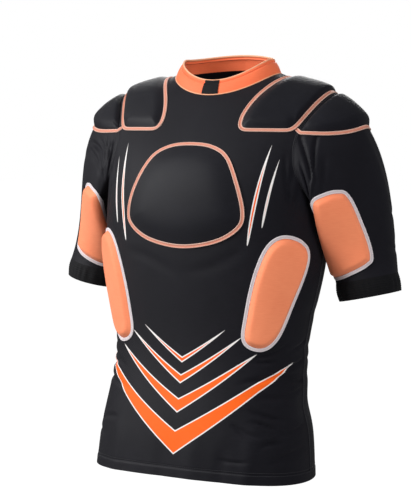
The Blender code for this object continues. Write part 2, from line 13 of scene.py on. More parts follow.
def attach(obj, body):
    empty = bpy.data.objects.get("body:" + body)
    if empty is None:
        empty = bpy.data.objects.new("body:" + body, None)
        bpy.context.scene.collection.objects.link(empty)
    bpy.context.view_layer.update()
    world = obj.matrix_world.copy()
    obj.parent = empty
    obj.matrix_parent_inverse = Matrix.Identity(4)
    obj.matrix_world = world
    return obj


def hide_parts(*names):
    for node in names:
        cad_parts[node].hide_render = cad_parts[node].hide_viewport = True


BODY = "root"
UV_NAME = "cloth"
ACROSS = np.array((1.0, 0.0, 0.0))
UP = np.array((0.0, 0.0, 1.0))
FORWARD = np.array((0.0, -1.0, 0.0))
FLIP = np.array((-1.0, 1.0, 1.0))
SIDES = (("left", 1.0), ("right", -1.0))
TURN = 2 * np.pi
# The two panels, by the sign of their depth
FRONT = -1
BACK = 1

# Torso sections, from the hem up to the shoulders
HEM_HEIGHT = -0.628
HEM_RISE = {FRONT: 0.008, BACK: 0.0}
ARMPIT_HEIGHT = -0.205
SECTION_COLUMNS = ("height", "half_width", "front_depth", "back_depth", "middle")
DEPTH_COLUMN = {FRONT: "front_depth", BACK: "back_depth"}
TORSO_SECTIONS = (
    (-0.628, 0.183, 0.117, 0.119, -0.068),
    (-0.560, 0.177, 0.115, 0.115, -0.062),
    (-0.440, 0.161, 0.106, 0.100, -0.047),
    (-0.370, 0.169, 0.114, 0.105, -0.039),
    (-0.290, 0.183, 0.126, 0.114, -0.033),
    (-0.205, 0.185, 0.133, 0.120, -0.028),
    (-0.120, 0.198, 0.130, 0.122, -0.011),
    (-0.050, 0.228, 0.119, 0.114, 0.006),
    (0.040, 0.246, 0.112, 0.106, 0.012),
)
FULLNESS = 0.20
ARCH_HEIGHT = {FRONT: 0.20, BACK: 0.13}

# Shoulder line, neckline and armhole
# Columns: across, height
SHOULDER_LINE = (
    (0.000, 0.016),
    (0.050, 0.012),
    (0.088, 0.005),
    (0.120, -0.006),
    (0.155, -0.016),
    (0.186, -0.027),
    (0.225, -0.050),
    (0.260, -0.085),
)
NAPE_RISE = {FRONT: 0.0, BACK: 0.024}
NECK_RISE_SOFTNESS = 1.2
NECK_SIDE = 0.088
NECK_LOW = {FRONT: -0.0305, BACK: 0.014}
NECK_ROUNDNESS = {FRONT: 1.6, BACK: 2.0}
SHOULDER_TIP = 0.186
# Columns: height, across
ARMHOLE_CURVE = (
    (-0.205, 0.185),
    (-0.180, 0.172),
    (-0.150, 0.161),
    (-0.120, 0.155),
    (-0.090, 0.156),
    (-0.060, 0.167),
    (-0.027, 0.186),
)
EDGE_CLOSENESS = 4
ARMPIT_EASE = 0.05
ARMPIT_SMOOTHING = 0.08

# Sleeve and cuff
CUFF_CENTRE = np.array((0.2415, 0.012, -0.315))
SLEEVE_LEAN = np.radians(12.5)
SLEEVE_RADIUS = 0.0495
SLEEVE_GIRTH_RADIUS = 0.060
SLEEVE_LENGTH = 0.25
CUFF_LENGTH = 0.029
CUFF_WALL = 0.0026
CUFF_FLARE = 0.0012
CAP_START_SLOPE = np.radians(30)
UNDERARM_START_SLOPE = np.radians(46)
CAP_FORWARD = 0.27
SPREAD = 0.10
END_FORWARD = 0.30
CAP_PULL = 0.34
UNDERARM_PULL = 0.13
SLEEVE_END_PULL = 0.95
# A plus depth is a trough, a minus depth a swelling
# Columns: angle in degrees, share along, half angle in degrees, half length, depth
SLEEVE_FOLDS = (
    (76.0, 0.26, 12.0, 0.15, 0.0025),
    (110.0, 0.14, 13.0, 0.10, 0.0025),
    (-95.0, 0.38, 13.0, 0.22, 0.0030),
    (120.0, 0.52, 45.0, 0.36, -0.0120),
)
FOLD_FADE = 8

# Cloth walls, hem band and seams
WALL = 0.0016
HEM_BAND = 0.0155
HEM_BAND_LIFT = 0.0009
HEM_GROOVE_DEPTH = 0.0016
HEM_GROOVE_WIDTH = 0.0015
HEM_STITCH_ROWS = (0.0136, 0.0174)
SEAM_WIDTH = 0.0044
SEAM_HEIGHT = 0.0007
EDGE_FADE = 0.008
# The seam's profile has an even number of points, so that its end faces close
# Columns: across share from the middle, height share
SEAM_PROFILE = (
    (-1.0, -0.6),
    (-1.0, 0.2),
    (-0.7, 0.8),
    (-0.2, 1.0),
    (0.2, 1.0),
    (0.7, 0.8),
    (1.0, 0.2),
    (1.0, -0.6),
)

# Creases, in the panel's own sizes: across is arc length from the centre line, heading in degrees
# from level; a bend bows the line, in half widths; a plus depth is a ridge, a minus depth a trough
# Columns: across, height, heading, half length, half width, depth, bend
FRONT_CREASES = (
    (0.178, -0.142, 84.0, 0.046, 0.0050, -0.0030, 0.5),
    (0.168, -0.166, 101.0, 0.036, 0.0046, -0.0024, -0.4),
    (0.190, -0.184, 71.0, 0.032, 0.0050, -0.0026, 0.3),
    (-0.180, -0.150, 98.0, 0.042, 0.0050, -0.0028, -0.5),
    (-0.166, -0.176, 83.0, 0.034, 0.0046, -0.0022, 0.3),
    (0.144, -0.428, 17.0, 0.026, 0.0040, -0.0034, 0.6),
    (0.134, -0.441, 2.0, 0.020, 0.0036, -0.0030, 0.8),
    (0.178, -0.452, 11.0, 0.034, 0.0044, -0.0032, 0.8),
    (0.150, -0.464, 4.0, 0.048, 0.0052, -0.0030, -0.8),
    (0.196, -0.474, -6.0, 0.030, 0.0044, -0.0030, 0.7),
    (0.202, -0.420, 18.0, 0.026, 0.0042, -0.0028, 0.5),
    (0.170, -0.494, 5.0, 0.040, 0.0058, -0.0026, 0.6),
    (0.147, -0.523, -15.0, 0.028, 0.0042, -0.0036, 0.5),
    (0.143, -0.535, -18.0, 0.023, 0.0040, -0.0032, -0.5),
    (0.112, -0.546, -25.0, 0.022, 0.0046, -0.0030, 0.5),
    (0.154, -0.561, 6.0, 0.016, 0.0050, -0.0036, -0.6),
    (0.192, -0.548, 9.0, 0.026, 0.0056, -0.0026, 0.5),
    (0.184, -0.582, 14.0, 0.030, 0.0060, -0.0028, -0.5),
    (0.098, -0.590, -3.0, 0.022, 0.0036, -0.0020, 0.4),
    (-0.170, -0.446, -10.0, 0.050, 0.0046, -0.0032, -0.8),
    (-0.182, -0.464, 4.0, 0.042, 0.0050, -0.0030, 0.6),
    (-0.160, -0.486, -4.0, 0.055, 0.0060, -0.0026, -0.5),
    (-0.190, -0.424, -16.0, 0.026, 0.0042, -0.0026, 0.5),
    (-0.150, -0.545, 12.0, 0.030, 0.0048, -0.0026, -0.4),
    (-0.182, -0.572, -7.0, 0.028, 0.0052, -0.0026, 0.5),
    (0.060, -0.290, 24.0, 0.050, 0.0120, -0.0010, 0.6),
    (-0.055, -0.286, -20.0, 0.044, 0.0110, -0.0010, -0.5),
    (-0.110, -0.600, 86.0, 0.055, 0.0180, 0.0022, 0.2),
    (0.030, -0.606, 95.0, 0.044, 0.0200, 0.0018, -0.2),
    (0.120, -0.598, 82.0, 0.060, 0.0170, 0.0024, 0.3),
    (-0.020, -0.612, 92.0, 0.038, 0.0150, -0.0014, 0.2),
    (0.078, -0.610, 88.0, 0.040, 0.0140, -0.0016, -0.3),
)
BACK_CREASES = (
    (0.170, -0.150, 96.0, 0.050, 0.0065, -0.0026, -0.4),
    (-0.172, -0.146, 82.0, 0.055, 0.0070, -0.0028, 0.5),
    (-0.158, -0.165, 97.0, 0.036, 0.0052, -0.0017, -0.3),
    (0.150, -0.440, -9.0, 0.060, 0.0060, -0.0020, 0.8),
    (-0.140, -0.446, 8.0, 0.070, 0.0064, -0.0021, -0.7),
    (0.090, -0.462, 3.0, 0.064, 0.0075, -0.0018, 0.6),
    (-0.060, -0.470, -4.0, 0.075, 0.0080, -0.0020, -0.9),
    (0.020, -0.450, 2.0, 0.055, 0.0066, -0.0015, 0.5),
    (-0.170, -0.480, 5.0, 0.044, 0.0058, -0.0015, 0.4),
    (0.000, -0.180, 90.0, 0.120, 0.0180, -0.0024, 0.2),
    (0.070, -0.255, 42.0, 0.060, 0.0120, -0.0012, 0.4),
    (-0.074, -0.248, 138.0, 0.055, 0.0120, -0.0012, -0.4),
    (0.080, -0.600, 87.0, 0.056, 0.0180, 0.0022, -0.2),
    (-0.050, -0.604, 94.0, 0.048, 0.0190, 0.0020, 0.3),
    (-0.140, -0.596, 84.0, 0.060, 0.0170, 0.0022, 0.2),
    (0.015, -0.610, 91.0, 0.040, 0.0140, -0.0014, 0.2),
)
# Sleeve creases: across is arc length round from the shoulder tip, plus to the front; height is
# minus the length down the sleeve
LEFT_SLEEVE_CREASES = (
    (0.087, -0.028, -64.0, 0.030, 0.0042, -0.0040, 0.4),
    (0.080, -0.041, -46.0, 0.025, 0.0040, -0.0038, -0.4),
    (0.113, -0.033, -41.0, 0.018, 0.0052, -0.0032, 0.3),
    (0.103, -0.056, -8.0, 0.016, 0.0050, 0.0018, 0.3),
    (0.084, -0.072, -48.0, 0.019, 0.0055, -0.0018, 0.3),
    (0.000, -0.110, 80.0, 0.050, 0.0090, -0.0012, 0.3),
    (-0.030, -0.180, 12.0, 0.032, 0.0060, -0.0014, 0.7),
    (-0.052, -0.205, -9.0, 0.040, 0.0066, -0.0017, -0.6),
    (-0.075, -0.110, 78.0, 0.045, 0.0068, -0.0018, 0.4),
    (-0.100, -0.090, 96.0, 0.036, 0.0056, -0.0016, -0.3),
    (-0.010, -0.222, 4.0, 0.036, 0.0056, -0.0012, 0.5),
)
RIGHT_SLEEVE_CREASES = (
    (0.084, -0.047, 32.0, 0.040, 0.0042, -0.0034, 0.3),
    (0.058, -0.062, 39.0, 0.024, 0.0034, -0.0022, 0.3),
    (0.067, -0.052, 35.0, 0.021, 0.0032, -0.0026, -0.3),
    (0.080, -0.036, 25.0, 0.021, 0.0034, -0.0032, -0.4),
    (0.084, -0.028, 11.0, 0.017, 0.0032, -0.0028, 0.2),
    (0.090, -0.019, -8.0, 0.015, 0.0034, -0.0028, 0.2),
    (0.097, -0.010, 3.0, 0.022, 0.0042, -0.0028, 0.3),
    (0.070, -0.068, 28.0, 0.036, 0.0046, -0.0024, 0.4),
    (0.050, -0.085, 40.0, 0.032, 0.0060, -0.0018, -0.3),
    (0.010, -0.120, 98.0, 0.044, 0.0080, -0.0012, 0.3),
    (-0.036, -0.188, -11.0, 0.036, 0.0062, -0.0016, -0.7),
    (-0.060, -0.176, 10.0, 0.030, 0.0056, -0.0014, 0.6),
    (-0.084, -0.104, 94.0, 0.042, 0.0064, -0.0018, -0.4),
    (-0.014, -0.226, -5.0, 0.034, 0.0054, -0.0012, -0.5),
)
CREASE_SWELL = 0.7

# Folds across the side seams, the same on both panels that meet there
# Columns: side (1 left, -1 right), height, half height, depth
SIDE_FOLDS = (
    (1.0, -0.513, 0.026, -0.0052),
    (1.0, -0.468, 0.008, -0.0014),
    (1.0, -0.443, 0.007, 0.0012),
    (1.0, -0.424, 0.006, -0.0013),
    (1.0, -0.372, 0.010, -0.0012),
    (-1.0, -0.520, 0.020, -0.0030),
    (-1.0, -0.476, 0.008, 0.0012),
    (-1.0, -0.456, 0.007, -0.0014),
    (-1.0, -0.431, 0.008, -0.0013),
)
FRONT_FOLD_REACH = 0.024
BACK_FOLD_REACH = 0.080

# Plain printed bars on the front, mirrored about its centre line, where the first four meet as chevrons
# Places are across from the centre line and up from the hem; a taper of 0 keeps that end full
# Columns: start across, start up, end across, end up, half width, start taper, end taper
PRINT_BARS = (
    (-0.030, 0.034, 0.185, 0.180, 0.0170, 0.0, 0.7),
    (-0.030, 0.092, 0.120, 0.187, 0.0110, 0.0, 0.7),
    (-0.030, 0.133, 0.096, 0.213, 0.0072, 0.0, 0.7),
    (-0.030, 0.163, 0.070, 0.226, 0.0050, 0.0, 0.7),
    (0.108, 0.346, 0.139, 0.502, 0.0076, 0.5, 0.9),
    (0.131, 0.372, 0.154, 0.484, 0.0050, 0.5, 0.9),
)
PRINT_EDGING = 0.0018
PRINT_EDGE_SOFTNESS = 0.0003

# Collar and its label
COLLAR_HEIGHT = 0.026
COLLAR_LEAN = np.radians(27)
COLLAR_WALL = 0.0022
COLLAR_BULGE = 0.0013
COLLAR_PUCKER = 0.00022
COLLAR_PUCKER_COUNT = 74
COLLAR_FOLD_SHARE = 0.80
COLLAR_FOLD_DEPTH = 0.0016
COLLAR_FOLD_WIDTH = 0.042
# Radius of the pale cord along the collar's top edge, which is a painted highlight
COLLAR_HIGHLIGHT_RADIUS = 0.0016
COLLAR_SEAM_RADIUS = 0.0010
# The label's half width is a share of a quarter of the neckline, its span shares up the collar
LABEL_HALF_SHARE = 0.62 / 6
LABEL_SPAN = (0.04, 0.97)
LABEL_COLUMN_SIZE = 0.003
LABEL_THICKNESS = 0.0008
LABEL_LIFT = 0.0003
CORD_SIDES = 10

# Pads: outlines on their patches of cloth, heights over the cloth, bevels
# Columns: across, height, down the left half
CHEST_OUTLINE = (
    (0.000, -0.111),
    (0.035, -0.115),
    (0.062, -0.131),
    (0.083, -0.170),
    (0.094, -0.209),
    (0.088, -0.232),
    (0.055, -0.252),
    (0.000, -0.261),
)
# Columns: turn from the centre line in degrees, height
RIB_OUTLINE = (
    (55.0, -0.250),
    (67.5, -0.259),
    (72.5, -0.283),
    (66.0, -0.345),
    (59.0, -0.398),
    (49.0, -0.418),
    (38.0, -0.408),
    (37.5, -0.370),
    (40.0, -0.310),
    (46.0, -0.266),
)
# Columns: angle round the sleeve in degrees, share along the sleeve
BICEP_OUTLINE = (
    (78.0, 0.440),
    (96.0, 0.365),
    (116.0, 0.285),
    (131.0, 0.300),
    (141.0, 0.420),
    (147.0, 0.680),
    (144.0, 0.900),
    (126.0, 0.935),
    (97.0, 0.930),
    (69.0, 0.910),
    (61.0, 0.870),
    (66.0, 0.680),
    (70.0, 0.500),
)
INNER_PAD_BOTTOM = -0.083
INNER_PAD_SEAM_NECK = 0.109
INNER_PAD_FRONT_NECK = 0.069
INNER_PAD_ARMHOLE_MARGIN = 0.0088
OUTER_PAD_ARMHOLE_MARGIN = 0.010
OUTER_PAD_REACH = 0.235
OUTER_PAD_CORNER_REACH = 0.016
OUTER_PAD_FULLNESS = 3
OUTER_PAD_TURN = 69.0
OUTER_TAPE_START = -0.014
OUTER_PAD_THIN_SHARE = 0.46
PAD_SQUARENESS = 12.0
PAD_EDGE_HEIGHT = 0.0012
PAD_LIFT = 0.0006
# Columns: height, bevel width, bevel sharpness, crown
CHEST_FORM = (0.0068, 0.0240, 4.0, 0.0010)
RIB_FORM = (0.0082, 0.0062, 5.0, 0.0012)
BICEP_FORM = (0.0082, 0.0062, 5.0, 0.0012)
INNER_SHOULDER_FORM = (0.0084, 0.0105, 4.0, 0.0010)
OUTER_SHOULDER_FORM = (0.0110, 0.0105, 4.0, 0.0004)
DIVIDER_STEEPNESS = 2.4
CROWN_REACH = 0.030
DISC_COUNT = 66
INNER_PAD_GRID = (48, 112)
OUTER_PAD_GRID = (96, 40)
EDGE_CROWDING = 1.7
RIB_GIRTH_RADIUS = 0.165
INNER_PAD_HALF_SIZE = (0.045, 0.11)
OUTER_PAD_HALF_SIZE = (0.09, 0.03)

# Tapes and bindings
TAPE_WIDTH = 0.0062
TRIM_THICKNESS = 0.0015
BINDING_WIDTH = 0.0055
TRIM_LIFT = 0.0005
SLEEVE_BINDING_LIFT = 0.0008
TRIM_CLEARANCE = 0.0002
OUTLINE_POINTS = 240
# The tape's profile has an even number of points, so that its end faces close
# Columns: across share, height share
TAPE_PROFILE = (
    (0.00, 0.00),
    (0.00, 0.62),
    (0.05, 0.92),
    (0.14, 1.00),
    (0.24, 0.90),
    (0.34, 0.70),
    (0.45, 0.62),
    (0.55, 0.62),
    (0.66, 0.70),
    (0.76, 0.90),
    (0.86, 1.00),
    (0.95, 0.92),
    (1.00, 0.62),
    (1.00, 0.00),
)
BINDING_PROFILE = (
    (0.00, 0.00),
    (0.00, 0.55),
    (0.08, 0.88),
    (0.20, 0.98),
    (0.28, 0.90),
    (0.34, 0.66),
    (0.40, 0.90),
    (0.50, 1.00),
    (0.60, 0.90),
    (0.66, 0.66),
    (0.72, 0.90),
    (0.84, 0.96),
    (0.94, 0.84),
    (1.00, 0.50),
    (1.00, 0.00),
)
# Columns: width, profile, stitch lines in the profile's columns
TAPE = (TAPE_WIDTH, TAPE_PROFILE, ((0.14, 1.0), (0.86, 1.0)))
BINDING = (BINDING_WIDTH, BINDING_PROFILE, ((0.34, 0.7), (0.66, 0.7)))

# Stitches: pitch along the seam, and the length, width and height of one stitch
STITCH_PITCH = 0.0035
STITCH_LENGTH = 0.0023
STITCH_WIDTH = 0.0007
STITCH_HEIGHT = 0.0005
STITCH_RINGS = ((-1.0, 0.35), (-0.6, 0.9), (0.6, 0.9), (1.0, 0.35))
STITCH_SIDES = 6

# Cuff ribs and gathers
CUFF_RIBS = 8
CUFF_RIB_DEPTH = 0.00025
CUFF_GATHERS = 26
CUFF_GATHER_DEPTH = 0.0008
CUFF_GATHER_DRIFT = 5
CUFF_GATHER_SWAY = 2.0
CUFF_GATHER_EVEN = 0.6

# Grid counts; columns keep the proportion of the solids
HEM_ROWS = 16
HEM_ROWS_HEIGHT = 0.022
SIDE_ROWS = 186
ARMHOLE_ROWS = 74
NECK_COLUMNS = 42
SEAM_COLUMNS = 35
SLEEVE_ROWS = 128
CUFF_ROWS = 40
COLLAR_ROWS = 36
LABEL_COLUMNS = 16
SIDE_EDGE = np.s_[: SIDE_ROWS + 1, -1]
SHOULDER_EDGE = np.s_[-1, NECK_COLUMNS:]
FINE_STEP = 1e-4
SHARP_ANGLE = np.radians(42)

# Cuts of the cloth before it is worn: width, length, flat area
FRONT_CUT = (0.48, 0.66, 0.265)
BACK_CUT = (0.48, 0.68, 0.265)

# Camera, fitted to the picture's frame
CAMERA_AZIMUTH = np.radians(25)
CAMERA_DISTANCE = 2.4
CAMERA_HEIGHT = -0.086
AIM_ASIDE = -0.0318
AIM_HEIGHT = -0.2816
CAMERA_LENS = 106.0
CAMERA_SENSOR = 36.0
CAMERA_ROLL = np.radians(0.6)

# Studio
FLOOR_HEIGHT = -1.48
FLOOR_HALF_SIDE = 30.0
FLOOR_GLOW = 0.95
AMBIENT = 0.22
# Columns: name, place, size, power, whether reflections show it
LIGHTS = (
    ("key_light", (-1.80, -1.62, 0.92), 1.3, 90.0, True),
    ("fill_light", (2.4, -1.6, 0.6), 1.6, 50.0, False),
    ("back_light", (-0.9, 2.2, 0.7), 1.6, 60.0, True),
)
LIGHT_AIM = (0.0, -0.05, -0.25)

# Cloth finishes
# Columns: stitch pitch, bump depth, roughness, sheen weight, specular level
KNIT_FINISH = (0.0011, 0.0003, 0.58, 0.02, 0.18)
PAD_FINISH = (0.0010, 0.00025, 0.54, 0.02, 0.19)
ELASTIC_FINISH = (0.0016, 0.0004, 0.75, 0.02, 0.18)
COLLAR_FINISH = (0.0010, 0.00025, 0.62, 0.08, 0.25)
FOAM_FINISH = (0.0008, 0.0002, 0.60, 0.10, 0.28)
KNIT_STRENGTH = 0.5
KNIT_ROWS_PER_COLUMN = 1.25
KNIT_LEG_SHIFT = 0.5
KNIT_WAVE = 0.35
ROUGHNESS_SPREAD = 0.08
SHEEN_ROUGHNESS = 0.5
CLOTH_CLOUDS = 14.0
CLOTH_STREAKS = 90.0
TRIM_CLOUDS = 40.0
TRIM_STREAKS = 160.0
THREAD_CLOUDS = 60.0
THREAD_STREAKS = 700.0
CLOUD_DETAIL = 3.0
STREAK_DETAIL = 2.0
STREAK_SQUEEZE = 9.0
TONE_RANGE = (0.64, 1.36)
TRIM_EDGE_RANGE = (0.12, 0.26)
TRIM_WEAR = 0.28
TRIM_RIB_PITCH = 0.0011
TRIM_RIB_STRENGTH = 0.35
TRIM_RIB_DEPTH = 0.00012
TRIM_ROUGHNESS = 0.55
TRIM_SPECULAR = 0.25
TRIM_SHEEN = 0.05
THREAD_SHADE = 0.72
THREAD_SPECULAR = 0.3
THREAD_ROUGHNESS = 0.55
DULL_ROUGHNESS = 0.6
FLOOR_ROUGHNESS = 0.9
FLOOR_SPECULAR = 0.1

# Colours: a cloth has a low and a high tone, a trim its middle and its edges
BLACK = ((0.0058, 0.0056, 0.0082, 1.0), (0.0092, 0.0089, 0.0126, 1.0))
PAD_BLACK = ((0.0060, 0.0060, 0.0088, 1.0), (0.0096, 0.0096, 0.0136, 1.0))
ELASTIC_BLACK = ((0.0046, 0.0046, 0.0056, 1.0), (0.0078, 0.0078, 0.0090, 1.0))
THREAD_GREY = (0.060, 0.060, 0.066, 1.0)
PRINT_ORANGE = (0.95, 0.130, 0.011, 1.0)
PRINT_WHITE = (0.85, 0.82, 0.80, 1.0)
COLLAR_ORANGE = ((0.90, 0.168, 0.062, 1.0), (0.95, 0.196, 0.082, 1.0))
# Pale orange of the collar's cords: the seam line's own colour, and a painted highlight along the rolled
# top edge
COLLAR_SEAM_AND_HIGHLIGHT_PALE = (0.98, 0.47, 0.27, 1.0)
FOAM_ORANGE = ((0.94, 0.262, 0.122, 1.0), (1.0, 0.310, 0.150, 1.0))
TAPE_PEACH = ((0.59, 0.193, 0.121, 1.0), (0.69, 0.440, 0.360, 1.0))
BINDING_PALE = ((0.62, 0.555, 0.585, 1.0), (0.72, 0.670, 0.690, 1.0))
THREAD_PALE = (0.78, 0.74, 0.74, 1.0)
THREAD_PEACH = (0.90, 0.56, 0.43, 1.0)
FLOOR_GREY = (0.30, 0.30, 0.30, 1.0)
WHITE = (1.0, 1.0, 1.0, 1.0)


def together(*arrays):
    """Arrays spread to one shape, side by side along a new last axis."""
    return np.stack(np.broadcast_arrays(*arrays), axis=-1)


def between(start, end, share):
    """The value at a share of the way from start to end."""
    return start + (end - start) * share


def bell(offset):
    """A bell: one in the middle, almost nothing at an offset of two."""
    return np.exp(-(offset**2))


def smooth_step(values):
    """Soft step from 0 to 1 over values 0 to 1."""
    t = np.clip(values, 0, 1)
    return t * t * (3 - 2 * t)


def unit(vectors):
    """Vectors along the last axis, made one long."""
    return vectors / np.linalg.norm(vectors, axis=-1, keepdims=True)


def dot(first, second):
    """Dot products of vectors along the last axis."""
    return np.sum(first * second, axis=-1)


def around(angle, first, second):
    """Directions at an angle round from a first direction towards a second one."""
    return np.cos(angle)[..., None] * first + np.sin(angle)[..., None] * second


def signed(angle):
    """Angles brought to between minus and plus half a turn."""
    return np.angle(np.exp(1j * angle))


def mirrored(points, mirror):
    """Points or directions of the left side, kept (1) or mirrored to the right side (-1)."""
    return points * (mirror, 1, 1)


def looped(rows):
    """Rows with the first one again at the end."""
    return np.concatenate((rows, rows[:1]))


def steps_along(points, closed, axis=0):
    """At each point of a line or grid, a vector that points from the one before it to the one after it."""
    if closed:
        return np.roll(points, -1, axis=axis) - np.roll(points, 1, axis=axis)
    return np.gradient(points, axis=axis)


def arc_lengths(points, axis=0):
    """Running length along one axis of a line or grid of points, from its start."""
    steps = np.diff(points, axis=axis, prepend=np.take(points, [0], axis=axis))
    return np.cumsum(np.linalg.norm(steps, axis=-1), axis=axis)


def spline(table, places):
    """Natural cubic spline through a table of (knot, value) rows, read at an array of places."""
    knots, values = np.asarray(table, float).T
    gaps = np.diff(knots)
    slopes = np.diff(values) / gaps
    count = len(knots)
    matrix = np.eye(count)
    right_side = np.zeros(count)
    for i in range(1, count - 1):
        matrix[i, i - 1 : i + 2] = gaps[i - 1], 2 * (gaps[i - 1] + gaps[i]), gaps[i]
        right_side[i] = 6 * (slopes[i] - slopes[i - 1])
    bend = np.linalg.solve(matrix, right_side)
    places = np.asarray(places, float)
    i = np.clip(np.searchsorted(knots, places) - 1, 0, count - 2)
    gap = gaps[i]
    to_next = (knots[i + 1] - places) / gap
    from_last = 1 - to_next
    straight = to_next * values[i] + from_last * values[i + 1]
    curved = (to_next**3 - to_next) * bend[i] + (from_last**3 - from_last) * bend[i + 1]
    return straight + curved * gap**2 / 6


def section(column, height):
    """One column of the torso sections at a height."""
    columns = dict(zip(SECTION_COLUMNS, np.transpose(TORSO_SECTIONS)))
    return spline(together(columns["height"], columns[column]), height)


def shoulder_height(across, side):
    """Height of the shoulder line; the back form rises to the nape inside the neckline."""
    inside = np.clip(1 - (across / NECK_SIDE) ** 2, 0, 1) ** NECK_RISE_SOFTNESS
    return spline(SHOULDER_LINE, np.abs(across)) + NAPE_RISE[side] * inside


def torso_point(turn, height, side):
    """The body form: an oval section, closed over the shoulder line by a rounded arch.

    turn runs from the centre line (0) to the side seam (a quarter turn), side is FRONT or BACK.
    """
    across = section("half_width", height) * np.sin(turn)
    depth = section(DEPTH_COLUMN[side], height)
    oval = np.cos(turn) * (1 + FULLNESS * np.sin(turn) ** 2)
    below = np.clip((shoulder_height(across, side) - height) / ARCH_HEIGHT[side], 0, 1)
    arch = np.sqrt(1 - (1 - below) ** 2)
    return together(across, section("middle", height) + side * depth * oval * arch, height)


def turn_at(across, height):
    """The turn at which the body form is this far across."""
    return np.arcsin(np.clip(across / section("half_width", height), -1, 1))


def eased_lead(lead, heights, share):
    """How far the edge leads even steps, by row and column: smoothed over heights near the armpit.

    The further a column lies from the edge, the wider the bell it is smoothed with; the edge keeps
    its own values.
    """
    width = np.maximum(ARMPIT_SMOOTHING * (1 - share), FINE_STEP)[:, None, None]
    weights = np.gradient(heights) * bell((heights[:, None] - heights) / width)
    smooth = (weights @ lead / weights.sum(axis=-1)).T
    near = bell((heights - ARMPIT_HEIGHT) / ARMPIT_EASE)[:, None]
    eased = between(lead[:, None], smooth, near)
    eased[:, -1] = lead
    return eased


def half_panel(side):
    """Half of the front or back panel, rows from hem to top, columns from centre line to side.

    Heights run straight from hem to top edge; turns blend from even steps at the hem to the
    neckline and shoulder seam at the top, scaled to end on the side seam and the armhole.
    """
    neck_turn = np.linspace(0, np.pi / 2, NECK_COLUMNS + 1)
    neck_top = shoulder_height(np.array(NECK_SIDE), side)
    tip_height = shoulder_height(np.array(SHOULDER_TIP), side)
    seam = np.linspace(NECK_SIDE, SHOULDER_TIP, SEAM_COLUMNS + 1)[1:]
    neck_height = between(neck_top, NECK_LOW[side], np.cos(neck_turn) ** NECK_ROUNDNESS[side])
    top_height = np.concatenate((neck_height, shoulder_height(seam, side)))
    top_turn = turn_at(np.concatenate((NECK_SIDE * np.sin(neck_turn), seam)), top_height)

    band_top = HEM_HEIGHT + HEM_ROWS_HEIGHT
    hem_rows = np.linspace(HEM_HEIGHT, band_top, HEM_ROWS, endpoint=False)
    side_rows = np.linspace(band_top, ARMPIT_HEIGHT, SIDE_ROWS - HEM_ROWS, endpoint=False)
    swing = (1 - np.cos(np.linspace(0, np.pi, ARMHOLE_ROWS + 1))) / 2
    armhole_rows = between(ARMPIT_HEIGHT, tip_height, swing)
    edge_height = np.concatenate((hem_rows, side_rows, armhole_rows))
    armhole_turn = turn_at(spline(ARMHOLE_CURVE, armhole_rows), armhole_rows)
    edge_turn = np.concatenate((np.full(SIDE_ROWS + 1, np.pi / 2), armhole_turn[1:]))

    share = np.linspace(0, 1, len(top_turn))
    climb = (edge_height - HEM_HEIGHT) / (tip_height - HEM_HEIGHT)
    hem_height = HEM_HEIGHT + HEM_RISE[side] * np.cos(share * np.pi / 2) ** 2
    height = between(hem_height, top_height, climb[:, None])
    spread = between(share, top_turn / top_turn[-1], climb[:, None] ** 2)
    even_edge = between(np.pi / 2, top_turn[-1], climb**2)
    lead = eased_lead(edge_turn - even_edge, edge_height, share)
    turn = even_edge[:, None] * spread + lead * share**EDGE_CLOSENESS
    return torso_point(turn, height, side)


def whole_panel(left, mirror=1.0):
    """Both halves of a panel's rows, from the right edge to the left edge."""
    return np.concatenate((left[:, :0:-1] * mirror, left), axis=1)


def grid_normals(grid, wrap=False):
    """Unit normals of a grid of points from its two directions; columns may close on themselves."""
    return unit(np.cross(steps_along(grid, wrap, 1), np.gradient(grid, axis=0)))


def armhole_ring(front, back):
    """Left armhole from the shoulder tip down the front, through the armpit and up the back."""
    return np.concatenate((front[: SIDE_ROWS - 1 : -1, -1], back[SIDE_ROWS + 1 : -1, -1]))


def sleeve_axis():
    """Direction down the sleeve, and the outward direction across it."""
    return around(SLEEVE_LEAN, -UP, ACROSS), around(SLEEVE_LEAN, ACROSS, UP)


def ring_at(ring, angle):
    """A closed ring of even angular steps read at any angle, by a smooth periodic cubic."""
    count = len(ring)
    place = angle / TURN * count
    i = np.floor(place).astype(int)
    t = (place - i)[..., None]
    before, start, end, after = (ring[(i + k) % count] for k in (-1, 0, 1, 2))
    bend = 2 * before - 5 * start + 4 * end - after
    twist = 3 * start - before - 3 * end + after
    return 0.5 * (2 * start + (end - before) * t + bend * t**2 + twist * t**3)


def sleeve_point(ring, angle, along):
    """Left sleeve: strands that leave the armhole outwards and curve down to the cuff circle.

    angle is 0 at the shoulder tip, a quarter turn at the front; along is 0 at the armhole, 1 at
    the cuff. Folds are soft troughs or swellings along the spokes of the cuff circle, and fade
    out at both ends.
    """
    angle, along = np.broadcast_arrays(angle, along)
    down, outward = sleeve_axis()
    under = (1 - np.cos(angle)) / 2
    slope = between(CAP_START_SLOPE, UNDERARM_START_SLOPE, under)
    pull = between(CAP_PULL, UNDERARM_PULL, under)[..., None]
    sideways = CAP_FORWARD * (1 - under) ** 2 + SPREAD * np.sin(angle)
    spoke = around(angle, outward, FORWARD)
    start = ring_at(ring, angle)
    end = CUFF_CENTRE + SLEEVE_RADIUS * spoke
    leave = pull * (around(slope, ACROSS, -UP) + sideways[..., None] * FORWARD)
    arrive = pull * SLEEVE_END_PULL * (down + END_FORWARD * FORWARD)
    t = along[..., None]
    point = (
        (2 * t**3 - 3 * t**2 + 1) * start
        + (t**3 - 2 * t**2 + t) * leave
        + (3 * t**2 - 2 * t**3) * end
        + (t**3 - t**2) * arrive
    )
    between_ends = 1 - (2 * along - 1) ** FOLD_FADE
    for fold_angle, fold_along, half_angle, half_length, depth in SLEEVE_FOLDS:
        off = signed(angle - np.radians(fold_angle)) / np.radians(half_angle)
        trough = depth * between_ends * bell(off) * bell((along - fold_along) / half_length)
        point = point - trough[..., None] * spoke
    return point


